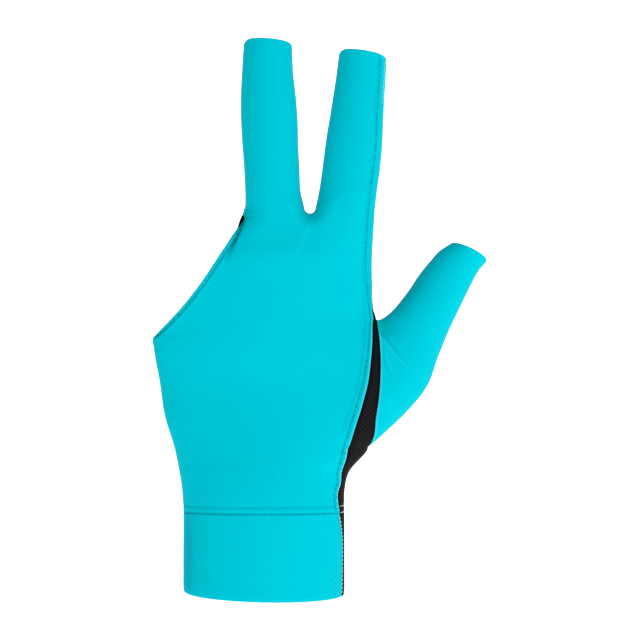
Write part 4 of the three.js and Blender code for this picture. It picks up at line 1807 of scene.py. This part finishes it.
def seen_beside(surface: Callable[[Array], Array], edge: float, far: float, inset: Any) -> Array:
    """A line that shows a set distance to the left of an edge when the back is seen from in front.

    Args:
        surface: Gives the points of a line up the surface for a column, or one column a point.
        edge: The edge's column.
        far: A lower column that lies past the line.
        inset: Distance to the line in mm, one for all points or one each.

    Returns:
        The line's points, found by halving the stretch between the two columns.
    """
    aim = surface(np.array(edge))[:, 0] - inset
    near, away = np.full(len(aim), float(edge)), np.full(len(aim), float(far))
    for _ in range(HALVINGS):
        middle = (near + away) / 2
        short = surface(middle)[:, 0] > aim
        near, away = np.where(short, middle, near), np.where(short, away, middle)
    return surface(away)


@dataclass(frozen=True)
class GlovePattern:
    """The glove's panels, hems and rows of stitches, in mm."""

    form: GloveForm
    hem: float = 2.5
    hem_stitch: float = 1.8  # from the hem's edge to its row of stitches
    hem_cover: float = 0.9  # from the hem's edge to the middle of its zigzag
    lower_row: float = 0.25  # from the cuff's seam up to the lower row of stitches
    upper_row: float = 2.6  # and to the upper one
    fold_loops: float = 0.45  # from the fold to the thread that wraps it
    turning_from: float = 12.0  # row of the form above which the doubled cloth's end shows
    cuff_row: float = 1.5  # from the cuff's fold to its dark row
    cuff_inner: float = 2.9  # and to its short pale one, as it shows from in front
    cuff_inner_top: float = 1.65  # row of the form at which the pale one ends
    tip_loops: float = 0.35  # from the fold to the loops near the index finger's end
    tip_from: float = 0.7  # share of that finger at which they start
    tip_to: float = 0.985  # and at which all its rows end
    cloth: float = 0.85  # walls
    net: float = 0.75
    cuff: float = 1.5
    cuff_net: float = 1.3

    def radial_line(self, name: str, start: float) -> Array:
        """A line inside the back's folded edge and up the index finger.

        Args:
            name: The column of FOLD_ROWS that gives its distance from the edge.
            start: Row at which it starts.

        Returns:
            The line's points.
        """
        form = self.form
        rows = np.linspace(start, form.LAST, 600)
        rise = (form.row_height(rows) - form.cuff_height) / form.palm_height
        inset = FOLD_ROWS(rise)[name] * form.palm_width
        on_index = self._seen_on_index(np.linspace(0, self.tip_to, 300), inset[-1])
        return np.concatenate([self._seen_on_hand(rows, inset), on_index[1:]])

    def _seen_on_hand(self, rows: Array, inset: Any) -> Array:
        """A line over the back that shows inside the folded edge.

        Args:
            rows: Rows that it crosses.
            inset: Its distance from the edge, one for all rows or one each.

        Returns:
            The line's points.
        """
        form = self.form
        return seen_beside(
            lambda columns: form.hand(rows, columns, Face.BACK), form.BACK, form.FINGER + 1, inset
        )

    def _seen_on_index(self, along: Array, inset: float) -> Array:
        """A line up the index finger that shows so far inside the folded edge."""
        form = self.form
        return seen_beside(lambda turns: form.finger(form.index, along, turns), form.FINGER, 1, inset)

    def grooves(self) -> tuple[Groove, ...]:
        """Where the doubled cloth ends inside the back's folded edge."""
        return (Groove("back_panel", self.radial_line("turning", self.turning_from)),)

    def joint_lines(self, height: float) -> tuple[Array, Array]:
        """Lines across the hand above the cuff's seam.

        Args:
            height: Distance from the seam.

        Returns:
            The line over the back and the one over the mesh.
        """
        form = self.form
        row = form.CUFF + height * (form.ROOT - form.CUFF) / form.root_rise
        back = form.hand(row, np.linspace(0.1, form.BACK - 0.25, 400), Face.BACK)
        strip = form.hand(row, np.linspace(form.BACK + 0.1, form.BACK + form.STRIP, 30), Face.BACK)
        palm = form.hand(row, np.linspace(0, form.PALM - 0.1, 400), Face.PALM)
        return back, np.concatenate([strip, palm[1:]])

    def stitch_rows(self) -> dict[str, tuple[StitchRow, ...]]:
        """Every row of stitches. Each stops a little short of the seams at its ends.

        Returns:
            The rows by the name of the piece that they belong to.
        """
        form = self.form
        hems = np.linspace(form.OPENING + 0.1, form.LAST - 0.4, 400)
        cuff = np.linspace(0.12, form.CUFF - 0.15, 200)
        low = np.linspace(form.CUFF + 0.1, form.ROOT + 1.0, 300)
        tip = np.linspace(self.tip_from, self.tip_to, 200)
        back_lower, palm_lower = self.joint_lines(self.lower_row)
        back_upper, palm_upper = self.joint_lines(self.upper_row)
        inner = np.linspace(0.1, self.cuff_inner_top, 160)
        loops = {"pitch": 1.1, "length": 1.3, "radius": 0.17, "swing": 0.4}
        return {
            "edge_topstitch": (
                StitchRow("back_panel", self.radial_line("topstitch", form.CUFF + 0.15)),
                StitchRow(
                    "cuff_back",
                    beside(form, cuff, form.BACK, Face.BACK, -self.cuff_row),
                    pitch=1.5,
                    length=0.8,
                ),
            ),
            "hem_stitches": (
                StitchRow("back_panel", beside(form, hems, 0, Face.BACK, self.hem_stitch)),
                StitchRow("palm_panel", beside(form, hems, form.PALM, Face.PALM, -self.hem_stitch)),
            ),
            "hem_zigzag": (
                StitchRow(
                    "back_panel",
                    beside(form, hems, 0, Face.BACK, self.hem_cover),
                    pitch=1.2,
                    length=1.45,
                    radius=0.13,
                    swing=0.7,
                    shade=0.2,
                ),
            ),
            "cuff_joint_stitches": (
                StitchRow("back_panel", back_lower, length=1.5, shade=0.0),
                StitchRow("back_panel", back_upper, length=1.5, shade=0.3),
            ),
            "palm_joint_stitches": (
                StitchRow("palm_panel", palm_lower, length=1.7),
                StitchRow("palm_panel", palm_upper, length=1.7),
            ),
            "cuff_inner_stitches": (
                StitchRow(
                    "cuff_back",
                    self._seen_on_hand(inner, self.cuff_inner),
                    length=1.5,
                    radius=0.26,
                    shade=0.3,
                ),
            ),
            "fold_edge_stitches": (
                StitchRow(
                    "cuff_back",
                    beside(form, cuff, form.BACK, Face.BACK, -self.fold_loops),
                    pitch=1.5,
                    length=1.3,
                    radius=0.24,
                    swing=0.3,
                ),
                StitchRow(
                    "back_panel", beside(form, low, form.BACK, Face.BACK, -self.fold_loops), **loops
                ),
                StitchRow("back_panel", self._seen_on_index(tip, self.tip_loops), **loops),
            ),
        }

    def folds(self) -> tuple[Fold, ...]:
        """The pulls and creases of the back and the thumb, some with painted shade and highlights.

        Returns:
            Two from the finger roots, one beside the hem, one from the web, then the thumb's.
        """
        return (
            Fold((20.0, 140.8), (13.6, 126.6), 0.2, 3.0),
            Fold((-9.8, 140.3), (-16.2, 117.6), 0.15, 3.3),
            # Painted shade in the valley beside the hem, and a faint painted highlight on the web's
            # ridge.
            Fold((-7.8, 143.0), (-14.7, 126.8), 1.0, 0.75, shade=0.9, arch=(0.3, 0.97)),
            Fold((17.6, 141.5), (10.0, 125.0), -0.12, 0.5, shade=-0.015),
            Fold((46.8, 99.4), (62.9, 74.4), 0.7, 3.3),
            Fold((47.6, 91.5), (57.8, 66.5), 0.7, 3.6),
            # Thumb creases: painted highlights on ridges, painted shade in valleys, then under the
            # crotch.
            Fold((43.9, 99.0), (56.0, 85.0), -0.25, 0.45, shade=-0.12, arch=(0.25, 1.0)),
            Fold((45.0, 99.4), (54.0, 88.2), 0.3, 0.6, shade=0.32, arch=(0.25, 1.0)),
            Fold((45.9, 91.6), (50.6, 80.0), -0.2, 0.45, shade=-0.05, arch=(0.25, 1.0)),
            Fold((45.3, 90.4), (49.6, 79.6), 0.25, 0.8, shade=0.12, arch=(0.25, 1.0)),
            Fold((44.5, 101.8), (49.8, 98.2), 0.3, 2.6, shade=0.3, arch=(0.3, 0.9)),
        )

    def panels(self) -> tuple[ClothPanel, ...]:
        """The glove's pieces of cloth.

        Returns:
            The seven panels.
        """
        # Painted highlight along the back's folded edge.
        folded = EdgeBand(
            Edge.RADIAL, raised=0.3, width=2.6, step=2.0, rolled=0.12, tone=-0.3, tone_width=0.35
        )
        # Painted shade on the mesh along its seam with the back.
        strip = EdgeBand(Edge.RADIAL, rolled=0.0, tone=0.95, tone_width=1.1)
        joint = EdgeBand(Edge.JOINT, rolled=0.05)
        finger_seams = tuple(
            EdgeBand(edge, rolled=0.2)
            for edge in (Edge.MIDDLE_OUTER, Edge.MIDDLE_INNER, Edge.INDEX_INNER)
        )
        little_side = EdgeBand(Edge.LITTLE_SIDE, rolled=0.3)
        # Painted highlight on the thumb's rim, and painted shade on the mesh beside the same seam.
        thumb = EdgeBand(Edge.THUMB, rolled=0.2, roll_width=1.0, tone=-0.3, tone_width=0.35)
        thumb_seam = EdgeBand(Edge.THUMB, rolled=0.3, tone=0.95, tone_width=1.1)
        root = EdgeBand(Edge.FINGER_ROOT, rolled=0.25)
        # Painted shade along the back's hem.
        back_hem = EdgeBand(
            Edge.BACK_HEM, raised=0.3, width=self.hem, rolled=0.1, tone=0.3, tone_width=0.3
        )
        palm_hem = EdgeBand(Edge.PALM_HEM, raised=0.35, width=self.hem, rolled=0.1)
        mouth = EdgeBand(Edge.MOUTH, rolled=0.15, roll_width=1.2)
        cuff_seams = (joint, mouth, EdgeBand(Edge.CUFF_LITTLE_SIDE, rolled=0.3))
        # Painted highlight along the cuff's folded edge.
        cuff_fold = EdgeBand(Edge.CUFF_RADIAL, rolled=0.1, tone=-0.4, tone_width=0.5)
        back_bands = (folded, joint, *finger_seams, little_side, back_hem)
        palm_bands = (joint, little_side, thumb_seam, strip, root, palm_hem)
        middle_bands = (*finger_seams, root)
        index_bands = (*finger_seams, EdgeBand(Edge.RADIAL, rolled=0.2), root)
        cuff_bands = (*cuff_seams, cuff_fold)
        wrist_shadow = Fold((-29.6, 27.0), (-29.6, 2.0), 0.0, 2.2, shade=0.36, arch=(0.25, 0.75))
        folds = self.folds()
        rows = (
            ("back_panel", "spandex", self.cloth, (75.0, 173.0, 9800.0), back_bands, folds),
            ("palm_panel", "mesh", self.net, (89.0, 109.0, 7850.0), palm_bands, ()),
            ("thumb_sleeve", "spandex", self.cloth, (84.0, 82.0, 3650.0), (thumb,), folds),
            ("middle_underside", "spandex", self.cloth, (27.0, 64.0, 1600.0), middle_bands, ()),
            ("index_underside", "spandex", self.cloth, (27.0, 60.0, 1450.0), index_bands, ()),
            ("cuff_back", "spandex", self.cuff, (69.0, 30.0, 2050.0), cuff_bands, (wrist_shadow,)),
            ("cuff_palm", "mesh", self.cuff_net, (78.0, 30.0, 2300.0), cuff_seams, ()),
        )
        return tuple(
            ClothPanel(name, slot, wall, Sheet(*cut), bands, own)
            for name, slot, wall, cut, bands, own in rows
        )


@dataclass(frozen=True)
class SoftLight:
    """A square soft light that faces the glove's middle, in metres and watts."""

    name: str
    place: tuple[float, float, float]
    size: float
    power: float
    aim: tuple[float, float, float] = (0.02, 0.0, 0.1)

    def build(self) -> None:
        """Adds the light."""
        data = bpy.data.lights.new(self.name, "AREA")
        data.size, data.energy = self.size, self.power
        light = bpy.data.objects.new(self.name, data)
        light.location = self.place
        facing = Vector(self.aim) - Vector(self.place)
        light.rotation_euler = facing.to_track_quat("-Z", "Y").to_euler()
        bpy.context.scene.collection.objects.link(light)


@dataclass(frozen=True)
class Studio:
    """A plain pale floor that curves up behind the glove, lit softly and mostly from the right."""

    floor_drop: float = 160.0  # below the glove's mouth, mm
    depth: float = 1700.0  # from the glove to where the floor starts to curve up
    front: float = 3000.0  # how far it runs in front of the glove
    bend: float = 700.0  # radius of the curve
    wall: float = 2200.0  # height of its upright end
    half_width: float = 3500.0
    bend_steps: int = 24
    clouds: float = 3.0  # lumps of the floor's faint cloudiness to a metre
    dull: Colour = (0.86, 0.86, 0.86, 1.0)
    clean: Colour = (0.9, 0.9, 0.9, 1.0)
    white: Colour = (1.0, 1.0, 1.0, 1.0)
    roughness: float = 0.9
    glow: float = 0.85  # light that the pale sheet gives off, so that it stays even
    world: float = 0.24  # strength of the light from all round
    lights: tuple[SoftLight, ...] = (
        SoftLight("key", (1.7, -0.8, 1.05), 1.3, 13.5),
        SoftLight("front", (0.15, -1.8, 0.95), 1.4, 11.0),
    )

    def build(self) -> None:
        """Adds the floor, the lights and the world."""
        self._floor()
        for light in self.lights:
            light.build()
        world = bpy.data.worlds.new("studio")
        world.use_nodes = True
        sky = world.node_tree.nodes["Background"]
        sky.inputs["Color"].default_value = self.white
        sky.inputs["Strength"].default_value = self.world
        bpy.context.scene.world = world
        bpy.context.scene.view_settings.view_transform = "Standard"

    def _floor(self) -> None:
        """A sheet that runs level from in front, bends up by a quarter circle and stands."""
        angle = np.linspace(0, np.pi / 2, self.bend_steps)
        bend_y = self.depth + self.bend * np.sin(angle)
        bend_z = self.bend * (1 - np.cos(angle))
        y = np.concatenate([[-self.front], bend_y, [self.depth + self.bend]])
        z = np.concatenate([[0], bend_z, [self.wall]]) - self.floor_drop
        sheet = np.stack(
            [np.stack([np.full_like(y, x), y, z], -1) for x in (-self.half_width, self.half_width)], 1
        )
        floor = mesh_object("floor", sheet.reshape(-1, 3), cut_quads(len(y), 2))
        shader = Shader("pale_floor")
        inputs = {
            "Base Color": shader.mix(shader.noise(self.clouds), self.dull, self.clean),
            "Roughness": self.roughness,
            "Emission Color": self.white,
            "Emission Strength": self.glow,
        }
        floor.data.materials.append(shader.surface(inputs))


def main() -> None:
    """Builds the camera, the cloth, the stitches and the studio."""
    logging.basicConfig(level=logging.INFO, format="%(name)s: %(message)s")
    camera = Camera()
    camera.build()
    form = GloveForm()
    lines = EdgeLines(form)
    skin = Skin(GloveGrid(form).patches())
    pattern = GlovePattern(form)
    rows = pattern.stitch_rows()
    finishes = {
        "spandex": SpandexFinish().material("turquoise_spandex"),
        "mesh": MeshFinish().material("black_mesh"),
    }
    threads = {
        thread: thread.value.material(thread.name.lower() + "_thread") for thread in Thread
    }
    reliefs = {}
    for panel in pattern.panels():
        own = tuple(row for group in rows.values() for row in group if row.panel == panel.name)
        grooves = tuple(groove for groove in pattern.grooves() if groove.panel == panel.name)
        relief = Relief(lines, camera, panel.bands, panel.folds, own, grooves)
        reliefs[panel.name] = relief
        piece = panel.build(skin, relief)
        piece.data.materials.append(finishes[panel.slot])
    for name, group in rows.items():
        piece = Stitching(name, "spandex", group).build(skin, reliefs)
        piece.data.materials.append(threads[SEWN_WITH.get(name, Thread.TURQUOISE)])
    Studio().build()


if __name__ == "__main__":
    main()
